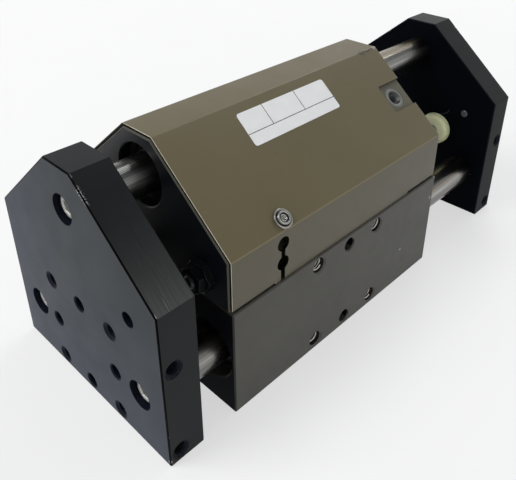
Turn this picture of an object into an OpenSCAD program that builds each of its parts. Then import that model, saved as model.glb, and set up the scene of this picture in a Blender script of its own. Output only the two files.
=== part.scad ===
// Pneumatic slide table: a drilled base block with two bearing blocks and a sheet hood,
// and a carriage of two end plates on three guide rods, pushed by a piston in the block.
// Units are mm. X is the slide direction, Z is up. The origin is the centre of the
// base block's underside. The carriage is drawn where the stop screw side is nearly closed.

/* [Travel] */
// Distance the carriage travels between its stops
stroke = 60; // [30:1:60]
// Gap between the body and the front plate as drawn
front_gap = 16.4; // [8:0.1:30]
// Air left between a stop and what it meets, at each end of the travel
stop_air = 0.2; // [0.1:0.1:0.5]

/* [Base block] */
// Length of the base block along the slide direction
body_l = 136; // [130:1:180]
// Width of the base block
body_w = 99.6; // [98:0.2:110]
// Height of the base block
block_h = 50; // [49:0.5:56]
// Chamfer on the outer edges of blocks and plates
edge_c = 0.5; // [0.2:0.1:1]

/* [Hood] */
// Distance of the hood's side walls inside the base block's sides
hood_inset = 0.9; // [0.5:0.1:1.2]
// Height of the hood's side walls above the base block
hood_side_h = 22.4; // [21:0.2:25]
// Height of the hood's slopes
hood_slope_h = 33.9; // [32.5:0.1:38]
// Width of the hood's flat top
hood_top_w = 17.3; // [14:0.1:22]
// Thickness of the hood sheet
hood_t = 1; // [0.8:0.1:1.5]
// Air between the hood sheet and the blocks under it
hood_gap = 0.3; // [0.2:0.1:0.5]
// Distance the hood stops short of each end of the base block
hood_short = 0.4; // [0.2:0.1:1]
// Length of the raised bottom edge at each end of the hood
hood_step_l = 23; // [15:1:26]
// Height of that raised edge above the base block
hood_step_h = 1; // [0.5:0.1:1.5]

/* [Cable slot] */
// Distance of the cable slot from the front end of the body
slot_x = 26.8; // [25:0.1:30]
// Diameter of the two cable holes
slot_hole_d = 6.2; // [5:0.1:6.2]
// Height of the lower cable hole above the base block
slot_up = 8.1; // [6:0.1:8.2]
// Spacing of the two cable holes
slot_pitch = 8.8; // [7:0.1:8.8]
// Width of the slot that joins them
slot_w = 1.7; // [1.5:0.1:3]
// Depth of the cable pocket in the bearing block
pocket_depth = 5.6; // [4:0.1:6]
// Height of the cable pocket above the base block
pocket_h = 20.2; // [20.1:0.1:20.4]

/* [Bearing blocks] */
// Length of each bearing block
bearing_l = 46; // [45:1:50]
// Distance of the nearer block screws from the body's end
block_screw_near = 22; // [21:1:23]
// Spacing of the block screws along the slide
block_screw_pitch = 16; // [12:1:17]
// Half the spacing of the block screws across the slide
block_screw_y = 19; // [18.8:0.1:20]
// Length of the block screws under the head
block_screw_l = 22; // [18:1:24]
// Depth of the block screws' thread in the base block
block_thread_depth = 12; // [9:1:14]

/* [End plates] */
// Overhang of the end plates past the base block on each side
plate_over = 0.2; // [0.1:0.1:2]
// Thickness of the end plates
plate_t = 16; // [15:0.5:20]
// Distance of the plates' shoulders below the hood's bends
plate_shoulder_drop = 2.4; // [1:0.1:4]
// Distance of the plates' flat top below the hood's top
plate_top_drop = 1.3; // [0.5:0.1:2]
// Width of the plates' flat top
plate_top_w = 16.8; // [14:0.2:22]
// Height of the plates' lower edge above the mounting surface
plate_lift = 0.3; // [0.2:0.1:1]
// Distance of the side threads from the plate's outer face
side_hole_x = 5; // [4.5:0.5:6]
// Depth of the side threads
side_hole_depth = 12; // [8:1:14]

/* [Hole pattern] */
// Pitch between neighbouring holes of the mounting patterns
grid = 20; // [18:0.5:21]
// Diameter of the mounting threads
thread_d = 6; // [5:0.5:6]
// Mouth diameter of the mounting threads
thread_mouth_d = 7.6; // [6.5:0.1:8]
// Diameter of the dowel holes
dowel_d = 6; // [5:0.5:7]
// Chamfer at the mouth of the dowel holes
dowel_c = 0.5; // [0.3:0.1:0.8]
// Depth of the dowel holes in the base block
dowel_depth = 10; // [6:1:12]

/* [Thread inserts] */
// Outer diameter of the thread inserts in the base block
insert_d = 7; // [6.5:0.1:7.4]
// Length of the thread inserts
insert_l = 9; // [6:1:11]
// Depth of an insert below the block's side
insert_sink = 0.8; // [0.5:0.1:1.5]
// Mouth diameter of the insert holes
insert_mouth_d = 8.2; // [7.8:0.1:9]
// Extra depth of the hole behind an insert
insert_runout = 3; // [2:0.5:3.5]

/* [Guide rods] */
// Diameter of the guide rods
rod_d = 16; // [15:0.5:16.5]
// Distance of the lower rods from the base block's sides
rod_inset = 14.8; // [14:0.1:15]
// Height of the lower rods and of the cylinder
rod_z = 25; // [24:0.5:26]
// Height of the upper rod above the base block
rod_top_up = 37.5; // [36:0.5:38]
// Depth of the rod seats in the end plates
rod_seat = 2; // [1:0.5:3]
// Depth of the threads in the rods' ends
rod_thread_depth = 20; // [19:1:30]

/* [Bushings] */
// Outer diameter of the ball bushings
bush_d = 26; // [25:0.5:26]
// Length of the ball bushings
bush_l = 36; // [30:1:36]
// Depth of the open recess in front of each wiper
bush_recess = 5; // [3:0.5:6]
// Length of each wiper
wiper_l = 4; // [3:0.5:4]
// Diameter of the relief bore between the bushings
relief_d = 22; // [18:0.5:24]
// Radial clearance of a rod in its bushing
rod_clear = 0.02; // [0.01:0.01:0.05]
// Radial clearance of a wiper or seal lip
lip_clear = 0.05; // [0.02:0.01:0.1]
// Radial clearance of a seated piece in its bore
seat_clear = 0.01; // [0.01:0.01:0.03]

/* [Cylinder] */
// Bore of the cylinder
cyl_d = 32; // [25:0.5:32]
// Length of the piston
piston_l = 16; // [14:0.5:18]
// Radial air between the piston's body and the bore
piston_air = 0.3; // [0.2:0.05:0.5]
// Air left in front of the piston at each end of its travel
end_air = 2; // [1:0.5:3]
// Diameter of the piston rod
piston_rod_d = 12; // [10:0.5:12]
// Distance of the cylinder covers from the block's ends
cover_inset = 3; // [3:0.5:4]
// Thickness of the rings that hold the covers
ring_t = 1.5; // [1:0.1:1.8]
// Distance of those rings from the block's ends
ring_inset = 1.4; // [1:0.1:1.5]
// Depth of the ring grooves
ring_groove = 1; // [0.6:0.1:1.2]
// Width of the retaining rings across the section
ring_w = 3; // [2:0.5:4]
// Thickness of the o-rings on the covers
oring_d = 2; // [1.5:0.1:2.5]
// Spacing of a cover's o-rings
oring_pitch = 9; // [8:0.5:10]

/* [Ports] */
// Distance of the ports from the rear end of the body
port_end = 9.7; // [9.3:0.1:10]
// Distance of the ports down the slope from the hood's top edge
port_s = 26.7; // [26:0.1:27.5]
// Outer diameter of the port inserts
port_d = 10.4; // [9.5:0.1:11]
// Length of the port inserts
port_l = 8; // [6:0.5:9]
// Diameter of the port threads
port_thread_d = 5; // [4.5:0.1:5.5]
// Mouth diameter of the port threads
port_mouth_d = 6.8; // [6:0.1:7.5]
// Depth of the conical port mouth
port_mouth_h = 1.8; // [1.2:0.1:2.5]
// Length of the hood's port notch from the hood's rear edge
notch_l = 16.5; // [15.8:0.1:18]
// Width of the port notch across the slope
notch_w = 14.5; // [13:0.1:18]
// Distance of the notch's middle down the slope
notch_s = 26.3; // [25.5:0.1:27]
// Diameter of the level and slanted air passages
air_d = 3; // [2:0.1:3.2]
// Diameter of the upright air passages
riser_d = 3.6; // [3.4:0.1:4]
// Distance of the air passages from the middle plane
air_y = 12; // [11:0.5:12.5]
// Depth of the long passage to the front chamber below the block's top
air_drop = 6; // [5:0.5:7]

/* [Stops] */
// Distance of the stop screw from the base block's side
stop_inset = 16.3; // [15:0.1:17.5]
// Height of the stop screw above the base block
stop_up = 9.5; // [8:0.1:11]
// Diameter of the stop screw
stop_d = 6; // [5:0.5:6]
// Reach of the stop screw in front of the body
stop_reach = 6.8; // [6.2:0.1:8]
// Full length of the stop screw
stop_l = 30; // [24:1:34]
// Width across flats of the lock nut
nut_af = 10; // [9:0.5:11]
// Thickness of the lock nut
nut_h = 3.2; // [2.5:0.1:3.4]
// Width across flats of the stop bushing's flange
flange_af = 12; // [11:0.5:13]
// Thickness of the stop bushing's flange
flange_h = 2.6; // [2:0.1:2.8]
// Diameter of the stop bushing's shank
stop_shank_d = 9; // [8:0.5:9.5]
// Length of the stop bushing's shank
stop_shank_l = 14; // [10:1:16]
// Diameter of the stop pins' tips
pin_tip_d = 4; // [3.5:0.1:4.5]
// Length of the stop pins' tips
pin_tip_l = 3; // [2:0.5:4]
// Depth of the stop pins below the plates' outer faces
pin_sink = 3; // [2:0.5:4]

/* [Bumper] */
// Distance of the bumper from the middle plane
bumper_y = 18; // [17:0.1:20]
// Distance of the bumper's centre below the base block's top
bumper_drop = 4; // [3:0.1:6]
// Diameter of the bumper
bumper_d = 18; // [16:0.5:19]
// Thickness of the bumper
bumper_h = 4.8; // [4.5:0.1:6]
// Edge radius of the bumper
bumper_r = 1.8; // [1:0.1:2]
// Diameter of the recess in the bumper's face
bumper_hole_d = 8.6; // [6:0.1:10]
// Depth of that recess
bumper_hole_h = 3; // [2:0.1:3.5]
// Diameter of the bumper's stud
stud_d = 4; // [3:0.5:4]
// Length of the stud in the rear plate
stud_l = 10; // [8:1:12]
// Depth of the stud's end below the bumper's face
stud_sink = 1; // [0.5:0.1:2]

/* [Screws] */
// Thread diameter of the rod, block and pin screws
screw_d = 6; // [5:0.5:6]
// Head diameter of those screws
head_d = 10; // [9.5:0.5:10]
// Head height of those screws
head_h = 6; // [5:0.5:6]
// Width across flats of their hexagon sockets
socket_af = 5; // [4:0.5:5]
// Depth of their hexagon sockets
socket_depth = 3; // [2:0.5:3.5]
// Counterbore diameter in the end plates
cbore_d = 12; // [11:0.1:12.4]
// Depth of a screw head below the plate's outer face
head_sink = 2; // [1:0.5:3]
// Length of the rod screws under the head
rod_screw_l = 24; // [20:1:26]
// Radial clearance of a screw in its hole
screw_clear = 0.1; // [0.05:0.05:0.3]
// Diameter of the hood screws
hood_screw_d = 4; // [3:0.5:4]
// Head diameter of the hood screws
hood_head_d = 6.4; // [6:0.1:7]
// Head height of the hood screws
hood_head_h = 1.8; // [1.4:0.1:2.2]
// Length of the hood screws under the head
hood_screw_l = 4.5; // [4:0.1:4.5]
// Distance of the hood screws from the front end of the body
hood_screw_x = 29.2; // [28:0.1:31]
// Distance of the hood screws above the shoulder bend
hood_screw_up = 4.2; // [4.2:0.1:5]
// Diameter of the hood washers
washer_d = 8.2; // [7.5:0.1:8.4]
// Thickness of the hood washers
washer_t = 0.8; // [0.5:0.1:1]

/* [Label] */
// Length of the blank label
label_l = 52; // [40:1:60]
// Height of the blank label
label_h = 15; // [10:1:16]
// Thickness of the blank label
label_t = 0.15; // [0.1:0.05:0.3]
// Distance of the label's middle from the front end of the body
label_x = 64.3; // [60:0.1:70]
// Distance of the label's middle down the slope
label_s = 12.1; // [10:0.1:14]
// Corner radius of the label
label_r = 1.2; // [0.5:0.1:2]

/* [Hidden] */
$fn = 72;

// Overlap of a cutting tool past the face it opens
past = 1;
// Ends of the base block
front_x = -body_l / 2;
rear_x = body_l / 2;
// Widths and heights that follow the base block
hood_w = body_w - 2 * hood_inset;
hood_shoulder_z = block_h + hood_side_h;
hood_top_z = hood_shoulder_z + hood_slope_h;
plate_w = body_w + 2 * plate_over;
plate_shoulder_z = hood_shoulder_z - plate_shoulder_drop;
plate_top_z = hood_top_z - plate_top_drop;
rod_y = body_w / 2 - rod_inset;
rod_top_z = block_h + rod_top_up;
slot_low_z = block_h + slot_up;
air_z = block_h - air_drop;
stop_y = body_w / 2 - stop_inset;
stop_z = block_h + stop_up;
bumper_z = block_h - bumper_drop;
// Faces of the end plates; the two gaps add up to the stroke and both stops
gap_sum = stroke + stop_reach + bumper_h + 2 * stop_air;
rear_gap = gap_sum - front_gap;
front_in_x = front_x - front_gap;
front_out_x = front_in_x - plate_t;
rear_in_x = rear_x + rear_gap;
rear_out_x = rear_in_x + plate_t;
// Travel from the drawn position towards each stop
travel_front = rear_gap - bumper_h - stop_air;
travel_rear = front_gap - stop_reach - stop_air;
// Slope of the hood, measured from level
slope_a = atan2(hood_top_z - hood_shoulder_z, (hood_w - hood_top_w) / 2);
slope_l = (hood_w - hood_top_w) / 2 / cos(slope_a);
// Bearing blocks lie this far inside the hood's outer faces
skin = hood_t + hood_gap;
// Cylinder chamber and its covers
chamber_l = stroke + piston_l + 2 * end_air;
chamber_x = -chamber_l / 2;
cover_l = body_l / 2 - chamber_l / 2 - cover_inset;
piston_x = chamber_x + end_air + travel_front;
// Air passages meet the covers' grooves at this distance from the middle
port_x = rear_x - port_end;
// Middle of the mounting pattern on the block's sides
side_z = block_h / 2;
// Rod positions as pairs of Y and Z
RODS = [[0, rod_top_z], [rod_y, rod_z], [-rod_y, rod_z]];
CORNERS = [[-1, -1], [-1, 1], [1, -1], [1, 1]];
MIDDLES = [[0, -1], [0, 1], [-1, 0], [1, 0]];

// Outline of a house shape in Y and Z, moved inwards by inset on every edge
function house(half, low, shoulder, top, top_half, inset) =
    let (a = atan2(top - shoulder, half - top_half))
    let (reach = half * sin(a) + shoulder * cos(a) - inset)
    let (side = half - inset)
    let (peak = (reach - (top - inset) * cos(a)) / sin(a))
    let (bend = (reach - side * sin(a)) / cos(a))
    [
        [-side, low], [side, low], [side, bend],
        [peak, top - inset], [-peak, top - inset], [-side, bend]
    ];

// Round bar along X from x0 to x1
module bar_x(x0, x1, y, z, d) {
    translate([x0, y, z]) rotate([0, 90, 0]) cylinder(d = d, h = x1 - x0);
}

// Cone along X from diameter d0 at x0 to d1 at x1
module cone_x(x0, x1, y, z, d0, d1) {
    translate([x0, y, z]) rotate([0, 90, 0]) cylinder(d1 = d0, d2 = d1, h = x1 - x0);
}

// Ring along X with outer and inner diameter
module tube_x(x0, x1, y, z, od, id) {
    difference() {
        bar_x(x0, x1, y, z, od);
        bar_x(x0 - past, x1 + past, y, z, id);
    }
}

// Hexagonal bar along X with the given width across flats
module hex_x(x0, x1, y, z, af, turn = 0) {
    translate([x0, y, z])
        rotate([turn, 0, 0])
            rotate([0, 90, 0])
                cylinder(d = af / cos(30), h = x1 - x0, $fn = 6);
}

// Torus around X
module oring_x(x, y, z, od, thick) {
    translate([x, y, z])
        rotate([0, 90, 0])
            rotate_extrude()
                translate([(od - thick) / 2, 0])
                    circle(d = thick);
}

// Prism of a Y-Z outline along X
module prism_x(x0, x1, points) {
    translate([x0, 0, 0])
        rotate([90, 0, 90])
            linear_extrude(x1 - x0)
                polygon(points);
}

// Hole drilled along X with a chamfered mouth at x0 facing -X
module drilled_x(x0, x1, y, z, d, mouth) {
    bar_x(x0 - past, x1, y, z, d);
    cone_x(x0, x0 + (mouth - d) / 2, y, z, mouth, d);
}

// Frame on the hood's slope: side is -1 or 1, s runs down the slope, +Z points out
module on_slope(side, x, s, sunk = 0) {
    y = side * (hood_top_w / 2 + s * cos(slope_a));
    translate([x, y, hood_top_z - s * sin(slope_a)])
        rotate([-side * slope_a, 0, 0])
            translate([0, 0, -sunk])
                children();
}

// Frame on a side face of the body: +Z points out of the face at Y = side * half
module on_side(side, x, z, half) {
    translate([x, side * half, z]) rotate([-side * 90, 0, 0]) children();
}

// Cap screw with its head's underside at the origin and its shank towards -Z
module cap_screw(shank_l) {
    difference() {
        union() {
            cylinder(d = head_d, h = head_h);
            translate([0, 0, -shank_l]) cylinder(d = screw_d, h = shank_l + past);
        }
        translate([0, 0, head_h - socket_depth])
            cylinder(d = socket_af / cos(30), h = socket_depth + past, $fn = 6);
    }
}

// Centred rectangle with cut corners
module cut_rectangle(w, h) {
    c = edge_c;
    polygon([
        [-w / 2 + c, -h / 2], [w / 2 - c, -h / 2], [w / 2, -h / 2 + c], [w / 2, h / 2 - c],
        [w / 2 - c, h / 2], [-w / 2 + c, h / 2], [-w / 2, h / 2 - c], [-w / 2, -h / 2 + c]
    ]);
}

// Block standing on Z = 0, centred in X and Y, with all outer edges chamfered
module chamfered_box(length, width, height) {
    translate([0, 0, height / 2])
        intersection() {
            linear_extrude(height, center = true) cut_rectangle(length, width);
            rotate([90, 0, 0])
                linear_extrude(width, center = true)
                    cut_rectangle(length, height);
            rotate([90, 0, 90])
                linear_extrude(length, center = true)
                    cut_rectangle(width, height);
        }
}

// Slab of a convex Y-Z outline between x0 and x1, with both faces' rims chamfered
module chamfered_slab(x0, x1, points) {
    difference() {
        prism_x(x0, x1, points);
        for (x = [x0, x1])
            for (i = [0 : len(points) - 1])
                rim_cut(x, points[i], points[(i + 1) % len(points)]);
    }
}

// Square bar on its edge along one side of a slab's face, which cuts the chamfer
module rim_cut(x, p, q) {
    run = q - p;
    side = edge_c * sqrt(2);
    translate([x, (p[0] + q[0]) / 2, (p[1] + q[1]) / 2])
        rotate([atan2(run[1], run[0]), 0, 0])
            rotate([0, 45, 0])
                cube([side, norm(run) + 2 * past, side], center = true);
}

// Bores for one rod's bushings at both ends, with the relief between them
module rod_bores(x0, x1, y, z) {
    depth = bush_recess + wiper_l + bush_l;
    bar_x(x0 - past, x0 + depth, y, z, bush_d);
    bar_x(x1 - depth, x1 + past, y, z, bush_d);
    bar_x(x0, x1, y, z, relief_d);
    cone_x(x0 - 0.01, x0 + edge_c, y, z, bush_d + 2 * edge_c, bush_d);
    cone_x(x1 - edge_c, x1 + 0.01, y, z, bush_d, bush_d + 2 * edge_c);
}

// Places a child at each block screw of the block whose outer end is at x_end
module at_block_screws(x_end) {
    inward = x_end < 0 ? 1 : -1;
    for (i = [0, 1])
        for (side = [-1, 1])
            translate([
                x_end + inward * (block_screw_near + i * block_screw_pitch),
                side * block_screw_y,
                block_h
            ])
                children();
}

// Height of the block screws' heads above the base block
function block_head_z() = block_screw_l - block_thread_depth + past;

// Groove on the cylinder wall for a cover ring, or the ring itself
module cover_ring_space(x0, extra) {
    tube_x(x0 - extra, x0 + ring_t + extra, 0, rod_z,
           cyl_d + 2 * ring_groove, cyl_d - 2 * ring_w);
}

module base_block() {
    color("dimgray")
        difference() {
            chamfered_box(body_l, body_w, block_h);
            rod_bores(front_x, rear_x, rod_y, rod_z);
            rod_bores(front_x, rear_x, -rod_y, rod_z);
            bar_x(front_x - past, rear_x + past, 0, rod_z, cyl_d);
            for (x0 = [front_x + ring_inset, rear_x - ring_inset - ring_t])
                bar_x(x0, x0 + ring_t, 0, rod_z, cyl_d + 2 * ring_groove);
            side_holes();
            for (x_end = [front_x, rear_x])
                at_block_screws(x_end)
                    translate([0, 0, -block_thread_depth])
                        cylinder(d = screw_d + 2 * screw_clear, h = block_thread_depth + past);
            // Passage from the right port down to the rear cover
            translate([port_x, -air_y, rod_z])
                cylinder(d = riser_d, h = block_h - rod_z + past);
            // Passage from the left port, along the block and down to the front cover
            translate([port_x, air_y, air_z]) cylinder(d = riser_d, h = block_h - air_z + past);
            bar_x(-port_x, rear_x + past, air_y, air_z, air_d);
            bar_x(rear_x - plug_l, rear_x + past, air_y, air_z, plug_d + 2 * seat_clear);
            translate([-port_x, air_y, rod_z]) cylinder(d = riser_d, h = air_z - rod_z);
            // Counterbores for the o-rings between the blocks
            for (side = [-1, 1])
                translate([port_x, side * air_y, block_h - face_ring_depth])
                    cylinder(d = face_ring_d + 2 * seat_clear, h = face_ring_depth + past);
        }
}

// Size of the plug in the long passage and of the o-rings between the blocks
plug_d = 4;
plug_l = 5;
face_ring_d = 7;
face_ring_t = 1.5;
face_ring_depth = 1.4;

// Threads and dowel holes in both sides of the base block
module side_holes() {
    deep = insert_sink + insert_l + insert_runout;
    for (side = [-1, 1]) {
        for (at = CORNERS)
            on_side(side, at[0] * grid, side_z + at[1] * grid, body_w / 2) {
                translate([0, 0, -deep]) cylinder(d = thread_d, h = deep);
                translate([0, 0, -insert_sink - insert_l])
                    cylinder(d = insert_d + 2 * seat_clear, h = insert_sink + insert_l + past);
                translate([0, 0, -(insert_mouth_d - insert_d) / 2])
                    cylinder(d1 = insert_d, d2 = insert_mouth_d,
                             h = (insert_mouth_d - insert_d) / 2 + 0.01);
            }
        for (k = [-1, 1])
            on_side(side, 0, side_z + k * grid, body_w / 2) {
                translate([0, 0, -dowel_depth]) cylinder(d = dowel_d, h = dowel_depth + past);
                translate([0, 0, -dowel_c])
                    cylinder(d1 = dowel_d, d2 = dowel_d + 2 * dowel_c, h = dowel_c + 0.01);
            }
    }
}

// Outer shape and common bores of a bearing block between x0 and x1
module bearing_block_blank(x0, x1, x_end) {
    difference() {
        chamfered_slab(x0, x1, house(hood_w / 2, block_h, hood_shoulder_z, hood_top_z,
                                     hood_top_w / 2, skin));
        bar_x(x0 - past, x1 + past, 0, rod_top_z, relief_d);
        at_block_screws(x_end) {
            translate([0, 0, -past])
                cylinder(d = screw_d + 2 * screw_clear, h = block_head_z() + 2 * past);
            translate([0, 0, block_head_z()])
                cylinder(d = head_d + 4 * screw_clear, h = hood_top_z);
        }
    }
}

module front_bearing_block() {
    x1 = front_x + bearing_l;
    bore_end = front_x + bush_recess + wiper_l + bush_l;
    color("slategray")
        difference() {
            bearing_block_blank(front_x, x1, front_x);
            bar_x(front_x - past, bore_end, 0, rod_top_z, bush_d);
            cone_x(front_x - 0.01, front_x + edge_c, 0, rod_top_z, bush_d + 2 * edge_c, bush_d);
            // Seat of the stop bushing
            bar_x(front_x - past, front_x + stop_shank_l + seat_clear, -stop_y, stop_z,
                  stop_shank_d + 2 * seat_clear);
            bar_x(front_x, front_x + stop_l - stop_reach + stop_room, -stop_y, stop_z,
                  stop_d + 2 * screw_clear);
            // Pocket behind the cable slot
            translate([
                front_x + slot_x - slot_hole_d / 2 - past,
                -hood_w / 2 + skin - past,
                block_h - past
            ])
                cube([bearing_l, pocket_depth + past, pocket_h + past]);
            for (side = [-1, 1])
                on_slope(side, front_x + hood_screw_x, hood_screw_s,
                         hood_screw_l - washer_t + screw_clear)
                    cylinder(d = hood_screw_d + 2 * screw_clear, h = hood_screw_l + past);
        }
}

// Free length of the hole behind the stop screw
stop_room = 6;
// Distance of the hood screws down the slope
hood_screw_s = slope_l - hood_screw_up;
// Depth of a port passage along its slanted axis, where it meets the vertical passage
port_reach = (hood_top_w / 2 + port_s * cos(slope_a) - air_y) / sin(slope_a);
port_low_z = hood_top_z - port_s * sin(slope_a) - port_reach * cos(slope_a);

module rear_bearing_block() {
    x0 = rear_x - bearing_l;
    bore_end = rear_x - bush_recess - wiper_l - bush_l;
    color("slategray")
        difference() {
            bearing_block_blank(x0, rear_x, rear_x);
            bar_x(bore_end, rear_x + past, 0, rod_top_z, bush_d);
            cone_x(rear_x - edge_c, rear_x + 0.01, 0, rod_top_z, bush_d, bush_d + 2 * edge_c);
            for (side = [-1, 1]) {
                on_slope(side, port_x, port_s, skin + port_l)
                    cylinder(d = port_d + 2 * seat_clear, h = port_l + past);
                on_slope(side, port_x, port_s, port_reach)
                    cylinder(d = air_d, h = port_reach - skin - port_l + past);
                translate([port_x, side * air_y, block_h - past])
                    cylinder(d = riser_d, h = port_low_z - block_h + past + riser_d / 2);
            }
        }
}

module block_screws() {
    color("silver")
        for (x_end = [front_x, rear_x])
            at_block_screws(x_end)
                translate([0, 0, block_head_z()])
                    cap_screw(block_screw_l - past);
}

module hood() {
    x0 = front_x + hood_short;
    x1 = rear_x - hood_short;
    step_z = block_h + hood_step_h;
    color("rosybrown")
        difference() {
            prism_x(x0, x1, house(hood_w / 2, block_h, hood_shoulder_z, hood_top_z,
                                  hood_top_w / 2, 0));
            prism_x(x0 - past, x1 + past, house(hood_w / 2, block_h - past, hood_shoulder_z,
                                                hood_top_z, hood_top_w / 2, hood_t));
            // Raised bottom edge at both ends
            for (x = [front_x - past, rear_x - hood_step_l])
                translate([x, -hood_w, block_h - past])
                    cube([hood_step_l + past, 2 * hood_w, hood_step_h + past]);
            cable_slot();
            for (side = [-1, 1]) {
                on_slope(side, x1 - notch_l, notch_s, hood_t + past)
                    translate([0, -notch_w / 2, 0])
                        cube([notch_l + past, notch_w, hood_t + 2 * past]);
                on_slope(side, front_x + hood_screw_x, hood_screw_s, hood_t + past)
                    cylinder(d = hood_screw_d + 2 * screw_clear, h = hood_t + 2 * past);
            }
        }
}

// Two cable holes joined by a slot that is open at the hood's lower edge
module cable_slot() {
    x = front_x + slot_x;
    for (k = [0, 1])
        on_side(-1, x, slot_low_z + k * slot_pitch, hood_w / 2)
            translate([0, 0, -hood_t - past])
                cylinder(d = slot_hole_d, h = hood_t + 2 * past);
    translate([x - slot_w / 2, -hood_w / 2 - past, block_h - past])
        cube([slot_w, hood_t + 2 * past, slot_low_z + slot_pitch - block_h + past]);
}

module hood_screws() {
    color("gainsboro")
        for (side = [-1, 1])
            on_slope(side, front_x + hood_screw_x, hood_screw_s, -washer_t)
                difference() {
                    union() {
                        cylinder(d = hood_head_d, h = hood_head_h);
                        translate([0, 0, -hood_screw_l])
                            cylinder(d = hood_screw_d, h = hood_screw_l + hood_head_h / 2);
                    }
                    translate([0, 0, hood_head_h / 2])
                        cylinder(d = hood_head_d / 2, h = hood_head_h, $fn = 6);
                }
}

module hood_washers() {
    color("silver")
        for (side = [-1, 1])
            on_slope(side, front_x + hood_screw_x, hood_screw_s)
                difference() {
                    cylinder(d = washer_d, h = washer_t);
                    translate([0, 0, -past])
                        cylinder(d = hood_screw_d + 2 * screw_clear, h = washer_t + 2 * past);
                }
}

module label() {
    color("white")
        on_slope(-1, front_x + label_x, label_s)
            linear_extrude(label_t)
                union() {
                    square([label_l - 2 * label_r, label_h], center = true);
                    square([label_l, label_h - 2 * label_r], center = true);
                    for (at = CORNERS)
                        translate([
                            at[0] * (label_l / 2 - label_r),
                            at[1] * (label_h / 2 - label_r)
                        ])
                            circle(r = label_r);
                }
}

// Ball bushing: a steel shell with two ring grooves outside and a plain bore for the rod
module ball_bushing(x0, rod) {
    groove_w = 1.3;
    groove_d = 1;
    groove_x = 4;
    color("lightsteelblue")
        difference() {
            tube_x(x0, x0 + bush_l, rod[0], rod[1],
                   bush_d - 2 * seat_clear, rod_d + 2 * rod_clear);
            for (x = [x0 + groove_x, x0 + bush_l - groove_x - groove_w])
                tube_x(x, x + groove_w, rod[0], rod[1], bush_d + past, bush_d - 2 * groove_d);
        }
}

// Outer ends of the bushings at both ends of the body
bush_front_x = front_x + bush_recess + wiper_l;
bush_rear_x = rear_x - bush_recess - wiper_l - bush_l;

module top_front_bushing() {
    ball_bushing(bush_front_x, RODS[0]);
}

module top_rear_bushing() {
    ball_bushing(bush_rear_x, RODS[0]);
}

module left_front_bushing() {
    ball_bushing(bush_front_x, RODS[1]);
}

module left_rear_bushing() {
    ball_bushing(bush_rear_x, RODS[1]);
}

module right_front_bushing() {
    ball_bushing(bush_front_x, RODS[2]);
}

module right_rear_bushing() {
    ball_bushing(bush_rear_x, RODS[2]);
}

// Wiper ring with a lip that leans out towards the end of the body
module rod_wiper() {
    lip_r = rod_d / 2 + lip_clear;
    seat_r = bush_d / 2 - seat_clear;
    rotate_extrude()
        polygon([
            [lip_r + 1.2, 0], [seat_r, 0], [seat_r, wiper_l], [seat_r - 1.6, wiper_l],
            [seat_r - 1.6, wiper_l / 2], [lip_r + 1, wiper_l / 2],
            [lip_r + 0.5, wiper_l], [lip_r, wiper_l], [lip_r, wiper_l - 0.8]
        ]);
}

module rod_wipers() {
    color("black")
        for (rod = RODS) {
            translate([front_x + bush_recess + wiper_l, rod[0], rod[1]])
                rotate([0, -90, 0])
                    rod_wiper();
            translate([rear_x - bush_recess - wiper_l, rod[0], rod[1]])
                rotate([0, 90, 0])
                    rod_wiper();
        }
}

// Cylinder cover with o-ring grooves and an air groove, its chamber end at x_in
module cylinder_cover(x_out, x_in) {
    low = min(x_out, x_in);
    high = max(x_out, x_in);
    groove_x = x_out < 0 ? -port_x : port_x;
    groove_r = cyl_d / 2 - oring_d + 0.2;
    difference() {
        bar_x(low, high, 0, rod_z, cyl_d - 2 * seat_clear);
        for (k = [-1, 1])
            tube_x(groove_x + k * oring_pitch / 2 - oring_d / 2 - 0.1,
                   groove_x + k * oring_pitch / 2 + oring_d / 2 + 0.1,
                   0, rod_z, cyl_d + past, 2 * groove_r);
        tube_x(groove_x - air_d / 2, groove_x + air_d / 2, 0, rod_z, cyl_d + past, 2 * groove_r);
        // Radial and axial passage from the air groove to the chamber
        translate([groove_x, 0, rod_z + air_r])
            cylinder(d = riser_d, h = cyl_d / 2 - air_r);
        bar_x(min(groove_x, x_in) - (x_out < 0 ? 0 : past),
              max(groove_x, x_in) + (x_out < 0 ? past : 0), 0, rod_z + air_r, air_d);
    }
}

// Distance of the covers' axial passage from the cylinder axis
air_r = 11;

module cylinder_front_cover() {
    x_out = front_x + cover_inset;
    color("lightgray")
        difference() {
            cylinder_cover(x_out, chamber_x);
            bar_x(x_out - past, chamber_x + past, 0, rod_z, piston_rod_d + 2 * lip_clear);
            bar_x(x_out - past, x_out + seal_l, 0, rod_z, seal_d + 2 * seat_clear);
        }
}

// Size of the piston rod's seal
seal_d = 18;
seal_l = 5;

module cylinder_rear_cover() {
    color("lightgray")
        cylinder_cover(rear_x - cover_inset, -chamber_x);
}

module cover_rings() {
    color("gray")
        for (x0 = [front_x + ring_inset, rear_x - ring_inset - ring_t])
            difference() {
                tube_x(x0 + seat_clear, x0 + ring_t - seat_clear, 0, rod_z,
                       cyl_d + 2 * ring_groove - 2 * seat_clear, cyl_d - 2 * ring_w);
                translate([x0 - past, -ring_gap / 2, rod_z - cyl_d])
                    cube([ring_t + 2 * past, ring_gap, cyl_d]);
            }
}

// Opening of the cover rings
ring_gap = 8;

module cover_orings() {
    color("black")
        for (side = [-1, 1])
            for (k = [-1, 1])
                oring_x(side * port_x + k * oring_pitch / 2, 0, rod_z,
                        cyl_d - 2 * seat_clear, oring_d - 0.2);
}

module rod_seal() {
    x0 = front_x + cover_inset;
    color("black")
        difference() {
            tube_x(x0, x0 + seal_l - 0.1, 0, rod_z, seal_d, piston_rod_d + 2 * lip_clear);
            cone_x(x0 - 0.01, x0 + 1.5, 0, rod_z, piston_rod_d + 4, piston_rod_d);
        }
}

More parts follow.
